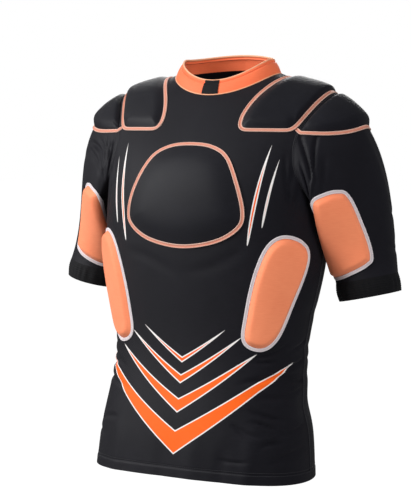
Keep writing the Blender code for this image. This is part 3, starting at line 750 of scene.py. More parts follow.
def neck_ring(front, back):
    """Neckline from the left shoulder seam round the front, then round the back."""
    in_front, behind = (half[-1:, : NECK_COLUMNS + 1] for half in (front, back))
    return np.concatenate((whole_panel(in_front, FLIP)[0, ::-1], whole_panel(behind, FLIP)[0, 1:-1]))


def seam_normals(front, back, sleeve):
    """Wall directions of both panels and the sleeve, shared where two pieces meet at a seam."""
    at_front = grid_normals(front)
    at_back = -grid_normals(back)
    at_sleeve = grid_normals(sleeve, wrap=True)
    for edge in (SIDE_EDGE, SHOULDER_EDGE):
        at_front[edge] = at_back[edge] = unit(at_front[edge] + at_back[edge])
    arm = unit(armhole_ring(at_front, at_back) + at_sleeve[0])
    at_sleeve[0] = arm
    at_front[SIDE_ROWS:, -1] = arm[ARMHOLE_ROWS::-1]
    at_back[SIDE_ROWS:, -1] = looped(arm)[ARMHOLE_ROWS:]
    return at_front, at_back, at_sleeve


def crease_height(places, table):
    """Sum of creases: along each line a flat-topped bell, across it a bell between low opposite swells."""
    total = np.zeros(places.shape[:-1])
    for across, height, heading, half_length, half_width, depth, bend in table:
        turn = np.radians(heading)
        right, up = np.moveaxis(places - (across, height), -1, 0)
        along = (right * np.cos(turn) + up * np.sin(turn)) / half_length
        aside = (up * np.cos(turn) - right * np.sin(turn)) / half_width - bend * along**2
        total += depth * (1 - CREASE_SWELL * aside**2) * bell(aside) * bell(along**2)
    return total


def side_folds(height, mirror):
    """Sum of the folds across one side seam: a bell along the seam for each."""
    rows = [row[1:] for row in SIDE_FOLDS if row[0] == mirror]
    return sum(depth * bell((height - middle) / half) for middle, half, depth in rows)


def quads(index):
    """Four-cornered faces over a grid of point numbers."""
    corners = (index[:-1, :-1], index[:-1, 1:], index[1:, 1:], index[1:, :-1])
    return np.stack(corners, axis=-1).reshape(-1, 4)


def numbered(shape, wrap):
    """Point numbers of a grid, with its first column again at the end where it wraps."""
    index = np.arange(np.prod(shape)).reshape(shape)
    if wrap:
        index = np.concatenate((index, index[..., :1]), axis=-1)
    return index


def wall_faces(index, wrap):
    """Faces of a closed wall over point numbers (2, rows, columns): outer, inner turned round, rims."""
    faces = [quads(index[0]), quads(index[1])[:, ::-1], quads(index[::-1, 0]), quads(index[:, -1])]
    if not wrap:
        faces += [quads(index[:, :, 0]), quads(index[::-1, :, -1])]
    return np.concatenate(faces)


def tube_faces(index, closed):
    """Faces of a tube over point numbers (rings, its sides and the first side again).

    The ends of an open tube are closed by faces between opposite pairs of its sides.
    """
    faces = quads(index)
    if closed:
        return faces
    sides = index.shape[1] - 1
    a = np.arange(sides // 2 - 1)
    ends = together(a, a + 1, sides - 2 - a, sides - 1 - a)
    return np.concatenate((faces, index[0][ends[:, ::-1]], index[-1][ends]))


def add_piece(name, points, faces, uv, uv_faces, finish, node):
    """One mesh piece of four-cornered faces on the root body, turned outwards by its signed volume.

    A finish is a material and the name of a slot; the slot name is not used.
    """
    points = points.reshape(-1, 3)
    a, b, c, d = np.moveaxis(points[faces], 1, 0)
    if np.sum(a * (np.cross(b, c) + np.cross(c, d))) < 0:
        faces = faces[:, ::-1]
        uv_faces = uv_faces[:, ::-1]
    mesh = bpy.data.meshes.new(name)
    mesh.vertices.add(len(points))
    mesh.vertices.foreach_set("co", points.astype(np.float32).ravel())
    mesh.loops.add(faces.size)
    mesh.loops.foreach_set("vertex_index", faces.astype(np.int32).ravel())
    mesh.polygons.add(len(faces))
    mesh.polygons.foreach_set("loop_start", np.arange(0, faces.size, 4, dtype=np.int32))
    mesh.update(calc_edges=True)
    layer = mesh.uv_layers.new(name=UV_NAME)
    layer.data.foreach_set("uv", uv.reshape(-1, 2)[uv_faces].astype(np.float32).ravel())
    mesh.shade_smooth()
    mesh.set_sharp_from_angle(angle=SHARP_ANGLE)
    material, slot = finish
    mesh.materials.append(material)
    piece = bpy.data.objects.new(name, mesh)
    bpy.context.scene.collection.objects.link(piece)
    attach(piece, BODY)
    if node:
        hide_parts(node)
    return piece


def add_wall(name, outer, inner, uv, finish, node, wrap=False):
    """A closed wall between an outer and an inner grid; uv has one more column where it wraps."""
    layers = np.stack((outer, inner))
    index = numbered(layers.shape[:3], wrap)
    uv_faces = wall_faces(np.arange(index.size).reshape(index.shape), wrap)
    return add_piece(name, layers, wall_faces(index, wrap), np.stack((uv, uv)), uv_faces, finish, node)


def add_tube(name, rings, finish, node=None, closed=True):
    """A closed profile carried along a path: rings is (path points, profile points, 3).

    uv is share across, length along.
    """
    index = numbered(rings.shape[:2], True)
    middles = rings.mean(axis=1)
    if closed:
        index = looped(index)
        middles = looped(middles)
    uv = together(np.linspace(0, 1, index.shape[1]), arc_lengths(middles)[:, None])
    uv_faces = tube_faces(np.arange(index.size).reshape(index.shape), closed)
    return add_piece(name, rings, tube_faces(index, closed), uv, uv_faces, finish, node)


def closed_curve(corners):
    """Closed smooth curve through the corners, in even steps of its parameter."""
    return ring_at(np.asarray(corners, float), np.linspace(0, TURN, OUTLINE_POINTS, endpoint=False))


def mirrored_corners(rows):
    """A left half outline, top to bottom, closed by its mirrored right half."""
    rows = np.asarray(rows, float)
    return np.concatenate((rows, rows[-2:0:-1] * (-1, 1)))


def crowded_square(columns, rows):
    """A grid over a square of half side one that crowds towards its edges: across, up, ring size."""
    even = np.meshgrid(np.linspace(-1, 1, columns + 1), np.linspace(-1, 1, rows + 1))
    a, b = (np.sign(steps) * (1 - (1 - np.abs(steps)) ** EDGE_CROWDING) for steps in even)
    return a, b, np.maximum(np.abs(a), np.abs(b))


def rounded_square(columns, rows):
    """A grid over a square of half side one, its squares drawn in to rounded ones."""
    a, b, size = crowded_square(columns, rows)
    reach = (np.abs(a) ** PAD_SQUARENESS + np.abs(b) ** PAD_SQUARENESS) ** (1 / PAD_SQUARENESS)
    draw_in = size / np.maximum(reach, FINE_STEP)
    return together(a * draw_in, b * draw_in)


def disc_places(corners):
    """A square grid spread over a closed outline: each square ring becomes the outline, shrunk.

    On a ring the share from one corner of the square to the next is the angle along the outline.
    """
    a, b, size = crowded_square(DISC_COUNT, DISC_COUNT)
    flat = np.abs(a) >= np.abs(b)
    longer = np.where(flat, a, b)
    ratio = np.where(flat, b, a) / np.where(longer == 0, 1.0, longer)
    quarter = np.where(flat, ratio, 2 - ratio) * np.pi / 4
    angle = quarter + np.where(longer < 0, np.pi, 0.0)
    middle = closed_curve(corners).mean(axis=0)
    return between(middle, ring_at(np.asarray(corners, float), angle), size[..., None])


def border_of(grid):
    """The border of a grid of points as one closed ring."""
    return np.concatenate((grid[0, :-1], grid[:-1, -1], grid[-1, :0:-1], grid[:0:-1, 0]))


def far_side(grid, start=0):
    """The last row of a grid of points, with both sides from a start row on."""
    return np.concatenate((grid[start:-1, 0], grid[-1], grid[start:-1, -1][::-1]))


def on_patch(patch, places):
    """The points of a patch of cloth at an array of places."""
    return patch(places[..., 0], places[..., 1])


def patch_directions(patch, places):
    """How a patch of cloth runs along its two directions, by small steps."""
    steps = FINE_STEP * np.eye(2)
    ahead, behind = ([on_patch(patch, places + sign * step) for step in steps] for sign in (1, -1))
    return np.subtract(ahead, behind) / (2 * FINE_STEP)


def patch_normals(patch, places):
    """Outward unit normals of a patch of cloth."""
    return unit(np.cross(*patch_directions(patch, places)))


def slide(patch, places, move):
    """The places reached by a short move along the cloth, by least squares on its two directions."""
    along_a, along_b = patch_directions(patch, places)
    aa, ab, bb = dot(along_a, along_a), dot(along_a, along_b), dot(along_b, along_b)
    move_a, move_b = dot(along_a, move), dot(along_b, move)
    steps = together(move_a * bb - move_b * ab, move_b * aa - move_a * ab)
    return places + steps / (aa * bb - ab**2)[..., None]


def edge_distance(points, edge):
    """Shortest distance from each point of a grid to a line of points."""
    along = np.diff(edge, axis=0)
    off = points.reshape(-1, 1, 3) - edge[:-1]
    share = np.clip(dot(off, along) / dot(along, along), 0, 1)
    gap = np.linalg.norm(off - share[..., None] * along, axis=-1)
    return gap.min(axis=1).reshape(points.shape[:-1])


def pad_height(distance, form):
    """Height over the cloth by distance from the edge: a slope that meets a level top in a soft knee.

    The knee is the soft minimum of the slope and one; a low crown grows with the distance.
    """
    height, bevel, sharpness, crown = form
    rise = -np.log(np.exp(-sharpness * distance / bevel) + np.exp(-sharpness)) / sharpness
    return between(PAD_EDGE_HEIGHT, height, rise) + crown * (1 - bell(distance / CROWN_REACH))


def add_pad(name, node, sides, patch, places, size, form, finish, thickness=1.0, divided=False):
    """A pad on each of the sides: bevelled top and level underside over places on a patch of cloth.

    uv is the place on the patch times its size in metres. A divided pad has a steeper bevel along its
    first row, where its neighbour lies.
    """
    points = on_patch(patch, places)
    normals = patch_normals(patch, places)
    if divided:
        to_divider = DIVIDER_STEEPNESS * edge_distance(points, points[0])
        distance = np.minimum(to_divider, edge_distance(points, far_side(points)))
    else:
        distance = edge_distance(points, looped(border_of(points)))
    under = points + PAD_LIFT * normals
    top = under + (thickness * pad_height(distance, form))[..., None] * normals
    for side, mirror in sides:
        walls = (mirrored(top, mirror), mirrored(under, mirror))
        pad = add_wall(name.format(side), *walls, places * size, finish, node.format(side))


def outward_along(patch, outline, closed):
    """Directions on the cloth, square to an outline and away from its middle."""
    points = on_patch(patch, outline)
    outward = unit(np.cross(steps_along(points, closed), patch_normals(patch, outline)))
    return outward * np.sign(np.sum((points - points.mean(axis=0)) * outward))


def add_trim(name, node, sides, patch, outline, trim, finish, lift=TRIM_LIFT, closed=True):
    """A tape or binding along an outline on each of the sides; gives the lines of its stitches.

    Every point of the trim's profile makes a line: the outline slides outward on the cloth by a share
    of the width, and rises by a share of the thickness.
    """
    width, profile, stitches = trim
    outward = outward_along(patch, outline, closed)
    lines = []
    for across, height in profile + stitches:
        places = slide(patch, outline, outward * (TRIM_CLEARANCE + across * width))
        normals = patch_normals(patch, places)
        lines.append((on_patch(patch, places) + (lift + height * TRIM_THICKNESS) * normals, normals))
    rings = np.stack([points for points, _ in lines[: len(profile)]], axis=1)
    sewn = []
    for side, mirror in sides:
        add_tube(name.format(side), mirrored(rings, mirror), finish, node.format(side), closed)
        for points, normals in lines[len(profile) :]:
            sewn.append((mirrored(points, mirror), mirrored(normals, mirror), closed))
    return sewn


def resampled(points, normals, closed):
    """Points, normals and tangents at even steps of about one stitch pitch along a line."""
    if closed:
        points = looped(points)
        normals = looped(normals)
    lengths = arc_lengths(points)
    count = int(lengths[-1] / STITCH_PITCH)
    places = (np.arange(count) + 0.5) / count * lengths[-1]
    grids = (points, normals, np.gradient(points, lengths, axis=0))
    read = [together(*(np.interp(places, lengths, row) for row in rows.T)) for rows in grids]
    return read[0], unit(read[1]), unit(read[2])


def stitch_points(points, normals, closed):
    """Small six-sided stitches along a line, each four rings long, as (stitches, rings, sides, 3)."""
    centres, ups, tangents = resampled(points, normals, closed)
    asides = np.cross(tangents, ups)[:, None, None] * STITCH_WIDTH / 2
    along, radius = np.asarray(STITCH_RINGS).T
    angle = np.linspace(0, TURN, STITCH_SIDES, endpoint=False)
    spokes = around(angle, asides, ups[:, None, None] * STITCH_HEIGHT)
    places = centres[:, None] + along[:, None] * tangents[:, None] * STITCH_LENGTH / 2
    return places[:, :, None] + radius[:, None, None] * spokes


def add_stitches(name, lines, finish):
    """All stitches of a set of lines as one joined piece; a line is (points, normals, closed)."""
    stitches = np.concatenate([stitch_points(*line) for line in lines])
    count, rings, sides = stitches.shape[:3]
    starts = np.arange(count)[:, None, None] * rings * sides
    faces = (starts + tube_faces(numbered((rings, sides), True), closed=False)).reshape(-1, 4)
    shares = together(2 * np.arange(sides) / sides, np.linspace(0, 1, rings)[:, None])
    add_piece(name, stitches, faces, np.broadcast_to(shares, (count, rings, sides, 2)), faces, finish, None)


def set_inputs(tree, node, inputs):
    """Sets a node's inputs, by name or number: sockets are linked, plain values set."""
    for key, value in inputs.items():
        if isinstance(value, bpy.types.NodeSocket):
            tree.links.new(value, node.inputs[key])
        else:
            node.inputs[key].default_value = value


def new_node(tree, kind, inputs, **settings):
    """The outputs of a new shader node with these settings and inputs."""
    node = tree.nodes.new(kind)
    for name, value in settings.items():
        setattr(node, name, value)
    set_inputs(tree, node, inputs)
    return node.outputs


def math_node(tree, operation, *values):
    """The result socket of a math node."""
    return new_node(tree, "ShaderNodeMath", dict(enumerate(values)), operation=operation)[0]


def vector_node(tree, operation, *values):
    """The outputs of a vector math node."""
    return new_node(tree, "ShaderNodeVectorMath", dict(enumerate(values)), operation=operation)


def group_node(tree, group, values):
    """The outputs of a node group placed in a tree, with its own values."""
    return new_node(tree, "ShaderNodeGroup", values, node_tree=group)


def mix_colour(tree, factor, first, second):
    """The result socket of a colour mix."""
    return new_node(tree, "ShaderNodeMix", {"Factor": factor, 6: first, 7: second}, data_type="RGBA")[2]


def ramp_node(tree, value, start, end, low=0.0, high=1.0):
    """The result socket of a ramp: low up to a start value, high from an end value on."""
    limits = {"Value": value, "From Min": start, "From Max": end, "To Min": low, "To Max": high}
    return new_node(tree, "ShaderNodeMapRange", limits, clamp=True)["Result"]


def bump_node(tree, height, strength, depth):
    """The normal socket of a bump."""
    return new_node(tree, "ShaderNodeBump", {"Height": height, "Strength": strength, "Distance": depth})[0]


def noise_node(tree, place, scale, detail):
    """The value socket of a noise."""
    return new_node(tree, "ShaderNodeTexNoise", {"Vector": place, "Scale": scale, "Detail": detail})["Fac"]


def uv_node(tree):
    """The socket of a piece's place on its cloth."""
    return new_node(tree, "ShaderNodeUVMap", {}, uv_map=UV_NAME)[0]


def flat_parts(tree, place):
    """The sockets of a place's two parts on the cloth."""
    parts = new_node(tree, "ShaderNodeSeparateXYZ", {0: place})
    return parts["X"], parts["Y"]


def new_group(name, vectors, floats, results):
    """An empty shader node group with vector and float inputs and float results.

    Gives its tree, its input sockets by name, and the node that takes its results.
    """
    tree = bpy.data.node_groups.new(name, "ShaderNodeTree")
    for names, kind in ((vectors, "NodeSocketVector"), (floats, "NodeSocketFloat")):
        for socket in names:
            tree.interface.new_socket(socket, in_out="INPUT", socket_type=kind)
    for socket in results:
        tree.interface.new_socket(socket, in_out="OUTPUT", socket_type="NodeSocketFloat")
    return tree, tree.nodes.new("NodeGroupInput").outputs, tree.nodes.new("NodeGroupOutput")


def knit_group():
    """Fine knit from a cloth place in metres: columns of V stitches.

    Across one pitch a tent rises to the column's middle; up the cloth a wave, shifted by the tent,
    gives the legs of the V. Height is the wave times the root of the tent.
    """
    tree, given, result = new_group("fine_knit", ["Place"], ["Pitch"], ["Height"])
    parts = flat_parts(tree, given["Place"])
    columns, rows = (math_node(tree, "DIVIDE", part, given["Pitch"]) for part in parts)
    tent = math_node(tree, "MULTIPLY", math_node(tree, "PINGPONG", columns, 0.5), 2.0)
    shift = math_node(tree, "MULTIPLY", tent, KNIT_LEG_SHIFT)
    rows = math_node(tree, "MULTIPLY_ADD", rows, KNIT_ROWS_PER_COLUMN, shift)
    wave = math_node(tree, "SINE", math_node(tree, "MULTIPLY", rows, TURN))
    wave = math_node(tree, "MULTIPLY_ADD", wave, KNIT_WAVE, 1 - KNIT_WAVE)
    set_inputs(tree, result, {"Height": math_node(tree, "MULTIPLY", wave, math_node(tree, "SQRT", tent))})
    return tree


def tone_group():
    """Uneven tone of worn cloth: broad soft clouds, and short level streaks of yarn, 0 to 1."""
    tree, given, result = new_group("cloth_tone", [], ["Clouds", "Streaks"], ["Tone", "Fuzz"])
    place = new_node(tree, "ShaderNodeTexCoord", {})["Object"]
    squeeze = {"Vector": place, "Scale": (1.0, 1.0, STREAK_SQUEEZE)}
    squeezed = new_node(tree, "ShaderNodeMapping", squeeze)[0]
    clouds = noise_node(tree, place, given["Clouds"], CLOUD_DETAIL)
    streaks = noise_node(tree, squeezed, given["Streaks"], STREAK_DETAIL)
    both = math_node(tree, "ADD", clouds, streaks)
    set_inputs(tree, result, {"Tone": ramp_node(tree, both, *TONE_RANGE), "Fuzz": streaks})
    return tree


def bar_group():
    """Distance from a place on the cloth to the edge of a straight tapered bar, minus inside.

    At a share t along the bar, its half width is the full one times t to the start taper times
    (1 - t) to the end taper.
    """
    vectors = ["Place", "Start", "Direction"]
    floats = ["Length", "Half Width", "Start Taper", "End Taper"]
    tree, given, result = new_group("tapered_bar", vectors, floats, ["Distance"])
    off = vector_node(tree, "SUBTRACT", given["Place"], given["Start"])["Vector"]
    along = vector_node(tree, "DOT_PRODUCT", off, given["Direction"])["Value"]
    aside = vector_node(tree, "CROSS_PRODUCT", off, given["Direction"])["Vector"]
    share = math_node(tree, "DIVIDE", along, given["Length"])
    share = new_node(tree, "ShaderNodeClamp", {"Value": share})[0]
    past = math_node(tree, "SUBTRACT", along, math_node(tree, "MULTIPLY", share, given["Length"]))
    past = new_node(tree, "ShaderNodeCombineXYZ", {"X": past})[0]
    gap = vector_node(tree, "LENGTH", vector_node(tree, "ADD", aside, past)["Vector"])["Value"]
    from_start = math_node(tree, "POWER", share, given["Start Taper"])
    from_end = math_node(tree, "POWER", math_node(tree, "SUBTRACT", 1.0, share), given["End Taper"])
    tapers = math_node(tree, "MULTIPLY", from_start, from_end)
    width = math_node(tree, "MULTIPLY", given["Half Width"], tapers)
    set_inputs(tree, result, {"Distance": math_node(tree, "SUBTRACT", gap, width)})
    return tree


def print_group():
    """Masks of the printed bars from a place on the cloth: inside their outline, and inside the edging."""
    tree, given, result = new_group("plain_print", ["Place"], [], ["Ink", "Fill"])
    across, up = flat_parts(tree, given["Place"])
    place = new_node(tree, "ShaderNodeCombineXYZ", {"X": math_node(tree, "ABSOLUTE", across), "Y": up})[0]
    bars = bar_group()
    nearest = 1.0
    for start_across, start_up, end_across, end_up, half_width, start_taper, end_taper in PRINT_BARS:
        reach = Vector((end_across - start_across, end_up - start_up, 0))
        values = {
            "Place": place,
            "Start": (start_across, start_up, 0),
            "Direction": reach.normalized(),
            "Length": reach.length,
            "Half Width": half_width,
            "Start Taper": start_taper,
            "End Taper": end_taper,
        }
        nearest = math_node(tree, "MINIMUM", nearest, group_node(tree, bars, values)["Distance"])
    for output, edge in (("Ink", 0.0), ("Fill", -PRINT_EDGING)):
        mask = ramp_node(tree, nearest, edge + PRINT_EDGE_SOFTNESS, edge - PRINT_EDGE_SOFTNESS)
        set_inputs(tree, result, {output: mask})
    return tree


def new_material(name):
    """A material with its node tree and its Principled surface."""
    material = bpy.data.materials.new(name)
    material.use_nodes = True
    tree = material.node_tree
    return material, tree, tree.nodes["Principled BSDF"]


def cloth_material(name, groups, colours, finish, printed=False):
    """Knitted cloth: two tones by cloth tone, roughness by its fuzz, knit stitches as bump.

    A printed cloth adds the bars: white edging, orange fill.
    """
    pitch, depth, roughness, sheen, specular = finish
    material, tree, surface = new_material(name)
    place = uv_node(tree)
    tone = group_node(tree, groups["tone"], {"Clouds": CLOTH_CLOUDS, "Streaks": CLOTH_STREAKS})
    knit = group_node(tree, groups["knit"], {"Place": place, "Pitch": pitch})
    colour = mix_colour(tree, tone["Tone"], *colours)
    if printed:
        masks = group_node(tree, groups["print"], {"Place": place})
        colour = mix_colour(tree, masks["Ink"], colour, PRINT_WHITE)
        colour = mix_colour(tree, masks["Fill"], colour, PRINT_ORANGE)
    smoothest = roughness - ROUGHNESS_SPREAD
    roughest = roughness + ROUGHNESS_SPREAD
    inputs = {
        "Base Color": colour,
        "Roughness": ramp_node(tree, tone["Fuzz"], 0.0, 1.0, smoothest, roughest),
        "Normal": bump_node(tree, knit["Height"], KNIT_STRENGTH, depth),
        "Sheen Weight": sheen,
        "Sheen Roughness": SHEEN_ROUGHNESS,
        "Specular IOR Level": specular,
    }
    set_inputs(tree, surface, inputs)
    return material


def trim_material(name, groups, middle, edge):
    """Tape or binding: paler towards both edges of its profile, unevenly toned, fine ribs as bump."""
    material, tree, surface = new_material(name)
    across, along = flat_parts(tree, uv_node(tree))
    from_middle = math_node(tree, "ABSOLUTE", math_node(tree, "SUBTRACT", across, 0.5))
    tone = group_node(tree, groups["tone"], {"Clouds": TRIM_CLOUDS, "Streaks": TRIM_STREAKS})
    worn = math_node(tree, "MULTIPLY", tone["Tone"], TRIM_WEAR)
    colour = mix_colour(tree, ramp_node(tree, from_middle, *TRIM_EDGE_RANGE), middle, edge)
    ribs = math_node(tree, "SINE", math_node(tree, "MULTIPLY", along, TURN / TRIM_RIB_PITCH))
    inputs = {
        "Base Color": mix_colour(tree, worn, colour, edge),
        "Normal": bump_node(tree, ribs, TRIM_RIB_STRENGTH, TRIM_RIB_DEPTH),
        "Roughness": TRIM_ROUGHNESS,
        "Specular IOR Level": TRIM_SPECULAR,
        "Sheen Weight": TRIM_SHEEN,
    }
    set_inputs(tree, surface, inputs)
    return material


def thread_material(name, groups, colour, roughness):
    """Sewing thread: its colour darkened along fine streaks."""
    material, tree, surface = new_material(name)
    tone = group_node(tree, groups["tone"], {"Clouds": THREAD_CLOUDS, "Streaks": THREAD_STREAKS})
    dark = tuple(THREAD_SHADE * value for value in colour[:3]) + (1.0,)
    inputs = {
        "Base Color": mix_colour(tree, tone["Fuzz"], dark, colour),
        "Roughness": roughness,
        "Specular IOR Level": THREAD_SPECULAR,
    }
    set_inputs(tree, surface, inputs)
    return material


def floor_material():
    """Pale studio floor: a grey that looks white to the camera, so that it throws little light up."""
    material, tree, surface = new_material("studio_floor")
    seen = new_node(tree, "ShaderNodeLightPath", {})["Is Camera Ray"]
    inputs = {
        "Base Color": FLOOR_GREY,
        "Emission Color": WHITE,
        "Emission Strength": math_node(tree, "MULTIPLY", seen, FLOOR_GLOW),
        "Roughness": FLOOR_ROUGHNESS,
        "Specular IOR Level": FLOOR_SPECULAR,
    }
    set_inputs(tree, surface, inputs)
    return material


def make_finishes():
    """All finishes of the top by name, each a material and its slot."""
    groups = {"knit": knit_group(), "tone": tone_group(), "print": print_group()}
    rows = (
        ("front", "black_knit", cloth_material, "printed_black_knit", BLACK, KNIT_FINISH, True),
        ("knit", "black_knit", cloth_material, "black_knit_cloth", BLACK, KNIT_FINISH),
        ("pad", "black_pad", cloth_material, "black_pad_cloth", PAD_BLACK, PAD_FINISH),
        ("elastic", "black_elastic", cloth_material, "black_elastic_band", ELASTIC_BLACK, ELASTIC_FINISH),
        ("collar", "orange_collar", cloth_material, "orange_collar_cloth", COLLAR_ORANGE, COLLAR_FINISH),
        ("foam", "orange_foam", cloth_material, "orange_pad_cloth", FOAM_ORANGE, FOAM_FINISH),
        ("tape", "peach_tape", trim_material, "peach_seam_tape", *TAPE_PEACH),
        ("binding", "pale_border", trim_material, "pale_pad_binding", *BINDING_PALE),
        # Pale collar cords: the seam line, and a painted highlight along the top edge
        ("collar_edge", "orange_collar", thread_material, "pale_orange_edge", COLLAR_SEAM_AND_HIGHLIGHT_PALE, DULL_ROUGHNESS),
        ("grey_thread", "black_knit", thread_material, "grey_thread", THREAD_GREY, DULL_ROUGHNESS),
        ("pale_thread", "pale_border", thread_material, "pale_thread", THREAD_PALE, THREAD_ROUGHNESS),
        ("peach_thread", "peach_tape", thread_material, "peach_thread", THREAD_PEACH, THREAD_ROUGHNESS),
    )
    return {key: (make(name, groups, *looks), slot) for key, slot, make, name, *looks in rows}


def panel_surface(half, normals, table, fold_reach):
    """A whole panel: its form, creases faded out at its sewn edges, and the turned-up hem band.

    Gives outer points, outward directions and uv: length across from the centre line, and length up
    that line from the hem.
    """
    across = arc_lengths(half, 1)
    climb = arc_lengths(half)
    height = half[..., 2]
    places = whole_panel(together(across, height), (-1, 1))
    to_side = across[:, -1:] - across
    fade = smooth_step(to_side / EDGE_FADE) * smooth_step((climb[-1:] - climb) / EDGE_FADE)
    over_band = (height - height[:1] - HEM_BAND) / HEM_GROOVE_WIDTH
    hem = HEM_BAND_LIFT * (1 - smooth_step(over_band)) - HEM_GROOVE_DEPTH * bell(over_band)
    left, right = (bell(to_side / fold_reach) * side_folds(height, mirror) for _, mirror in SIDES)
    folds = np.concatenate((right[:, :0:-1], left), axis=1)
    offset = crease_height(places, table) * whole_panel(fade) + whole_panel(hem) + folds
    outward = whole_panel(normals, FLIP)
    outer = whole_panel(half, FLIP) + outward * offset[..., None]
    return outer, outward, together(places[..., 0], climb[:, :1])


def make_panels(front, back, at_front, at_back, finishes):
    """Front and back panels as thin shells; gives their outer points and outward directions."""
    surfaces = []
    rows = (
        ("front_panel", "body_front", front, at_front, FRONT_CREASES, FRONT_FOLD_REACH, "front", FRONT_CUT),
        ("back_panel", "body_back", back, at_back, BACK_CREASES, BACK_FOLD_REACH, "knit", BACK_CUT),
    )
    for name, node, half, normals, table, fold_reach, finish, cut in rows:
        outer, outward, uv = panel_surface(half, normals, table, fold_reach)
        panel = add_wall(name, outer, outer - WALL * outward, uv, finishes[finish], node)
        surfaces.append((outer, outward))
    return surfaces


def make_sleeves(sleeve, normals, finishes):
    """Both sleeves as thin tubes, each with its own creases, faded out at the armhole and the cuff."""
    rows, columns = sleeve.shape[:2]
    angle = np.linspace(0, TURN, columns + 1)
    down = np.linspace(0, SLEEVE_LENGTH, rows)[:, None]
    places = together(signed(angle) * SLEEVE_GIRTH_RADIUS, -down)
    uv = together(angle * SLEEVE_GIRTH_RADIUS, -down)
    fade = smooth_step(down / EDGE_FADE) * smooth_step((SLEEVE_LENGTH - down) / EDGE_FADE)
    for (side, mirror), table in zip(SIDES, (LEFT_SLEEVE_CREASES, RIGHT_SLEEVE_CREASES)):
        offset = (crease_height(places, table) * fade)[:, :-1, None]
        walls = [mirrored(sleeve + depth * normals, mirror) for depth in (offset, offset - WALL)]
        piece = add_wall(f"{side}_sleeve", *walls, uv, finishes["knit"], f"sleeve_{side}", wrap=True)


def make_cuffs(columns, finishes):
    """Elastic cuff bands: a short tube with level ribs and uneven gathers across them."""
    down, outward = sleeve_axis()
    angle = np.linspace(0, TURN, columns + 1)
    steps = np.linspace(0, 1, CUFF_ROWS + 1)[:, None]
    drift = np.sin(CUFF_GATHER_DRIFT * angle)
    gathers = np.cos(CUFF_GATHERS * angle + CUFF_GATHER_SWAY * drift)
    gathers = CUFF_GATHER_DEPTH * gathers * between(drift, 1.0, CUFF_GATHER_EVEN)
    ribs = CUFF_RIB_DEPTH * np.cos(TURN * CUFF_RIBS * steps)
    lift = (CUFF_FLARE + ribs + gathers) * np.sin(np.pi * steps)
    spokes = around(angle, outward, FORWARD)
    middle = CUFF_CENTRE + CUFF_LENGTH * steps[..., None] * down
    outer = middle + (SLEEVE_RADIUS + lift)[..., None] * spokes
    inner = outer - CUFF_WALL * spokes
    uv = together(angle * SLEEVE_RADIUS, steps * CUFF_LENGTH)
    for side, mirror in SIDES:
        walls = [mirrored(wall[:, :-1], mirror) for wall in (outer, inner)]
        piece = add_wall(f"{side}_cuff_band", *walls, uv, finishes["elastic"], f"cuff_{side}", wrap=True)


def collar_surface(ring, columns, steps):
    """The collar's face by column along the neckline and step up it, with its outward direction.

    Each point climbs from the neckline, leaning to the neck, and swells a little between the edges.
    """
    level = ring * (1 - UP)
    outward = unit(level - level.mean(axis=0))
    angle = columns / len(ring) * TURN
    directions = (ring, around(COLLAR_LEAN, UP, -outward), around(COLLAR_LEAN, outward, UP))
    start, climb, face = (ring_at(rows, angle) for rows in directions)
    swell = COLLAR_BULGE * np.sin(np.pi * steps)
    fold = COLLAR_FOLD_DEPTH * bell((steps - COLLAR_FOLD_SHARE) / COLLAR_FOLD_WIDTH)
    pucker = COLLAR_PUCKER * np.cos(COLLAR_PUCKER_COUNT * angle) * (1 - steps) ** 2
    rise = TRIM_CLEARANCE + COLLAR_HEIGHT * steps
    points = start + rise[..., None] * climb + (swell - fold + pucker)[..., None] * face
    return points, np.broadcast_to(face, points.shape)


def round_cord(points, face, radius):
    """Rings of a round cord along a closed line; face is a direction square to it."""
    other = np.cross(unit(steps_along(points, True)), face)
    angle = np.linspace(0, TURN, CORD_SIDES, endpoint=False)
    return points[:, None] + radius * around(angle, face[:, None], other[:, None])


def add_label(ring, finish):
    """A plain patch sewn flat on the front of the collar."""
    columns = NECK_COLUMNS * (1 + LABEL_HALF_SHARE * np.linspace(-1, 1, LABEL_COLUMNS + 1))
    steps = np.linspace(*LABEL_SPAN, LABEL_COLUMNS + 1)[:, None]
    points, face = collar_surface(ring, columns[None], steps)
    under = points + LABEL_LIFT * face
    uv = together(columns * LABEL_COLUMN_SIZE, steps * COLLAR_HEIGHT)
    return add_wall("collar_patch", under + LABEL_THICKNESS * face, under, uv, finish, "collar_label")


def make_collar(ring, finishes):
    """The stand collar with its pale seam line, a pale cord along its top edge as a painted highlight, and
    its label.
    """
    steps = np.linspace(0, 1, COLLAR_ROWS + 1)[:, None]
    outer, face = collar_surface(ring, np.arange(len(ring))[None], steps)
    inner = outer - COLLAR_WALL * face
    uv = together(arc_lengths(looped(ring)), steps * COLLAR_HEIGHT)
    collar = add_wall("collar_band", outer, inner, uv, finishes["collar"], "collar", wrap=True)
    # The top cord is a painted highlight along the rolled top edge; the lower cord is the pale seam line
    cords = (
        ("collar_top_painted_highlight", (outer[-1] + inner[-1]) / 2, face[-1], COLLAR_HIGHLIGHT_RADIUS),
        ("collar_seam_line", outer[0], face[0], COLLAR_SEAM_RADIUS),
    )
    cords_and_label = [add_tube(name, round_cord(*cord), finishes["collar_edge"]) for name, *cord in cords]
    cords_and_label.append(add_label(ring, finishes["elastic"]))


def chest_patch(across, height):
    """The front panel by how far across and how high."""
    return torso_point(turn_at(across, height), height, FRONT)


def rib_patch(turn_degrees, height):
    """The front panel by turn in degrees and height."""
    return torso_point(np.radians(turn_degrees), height, FRONT)


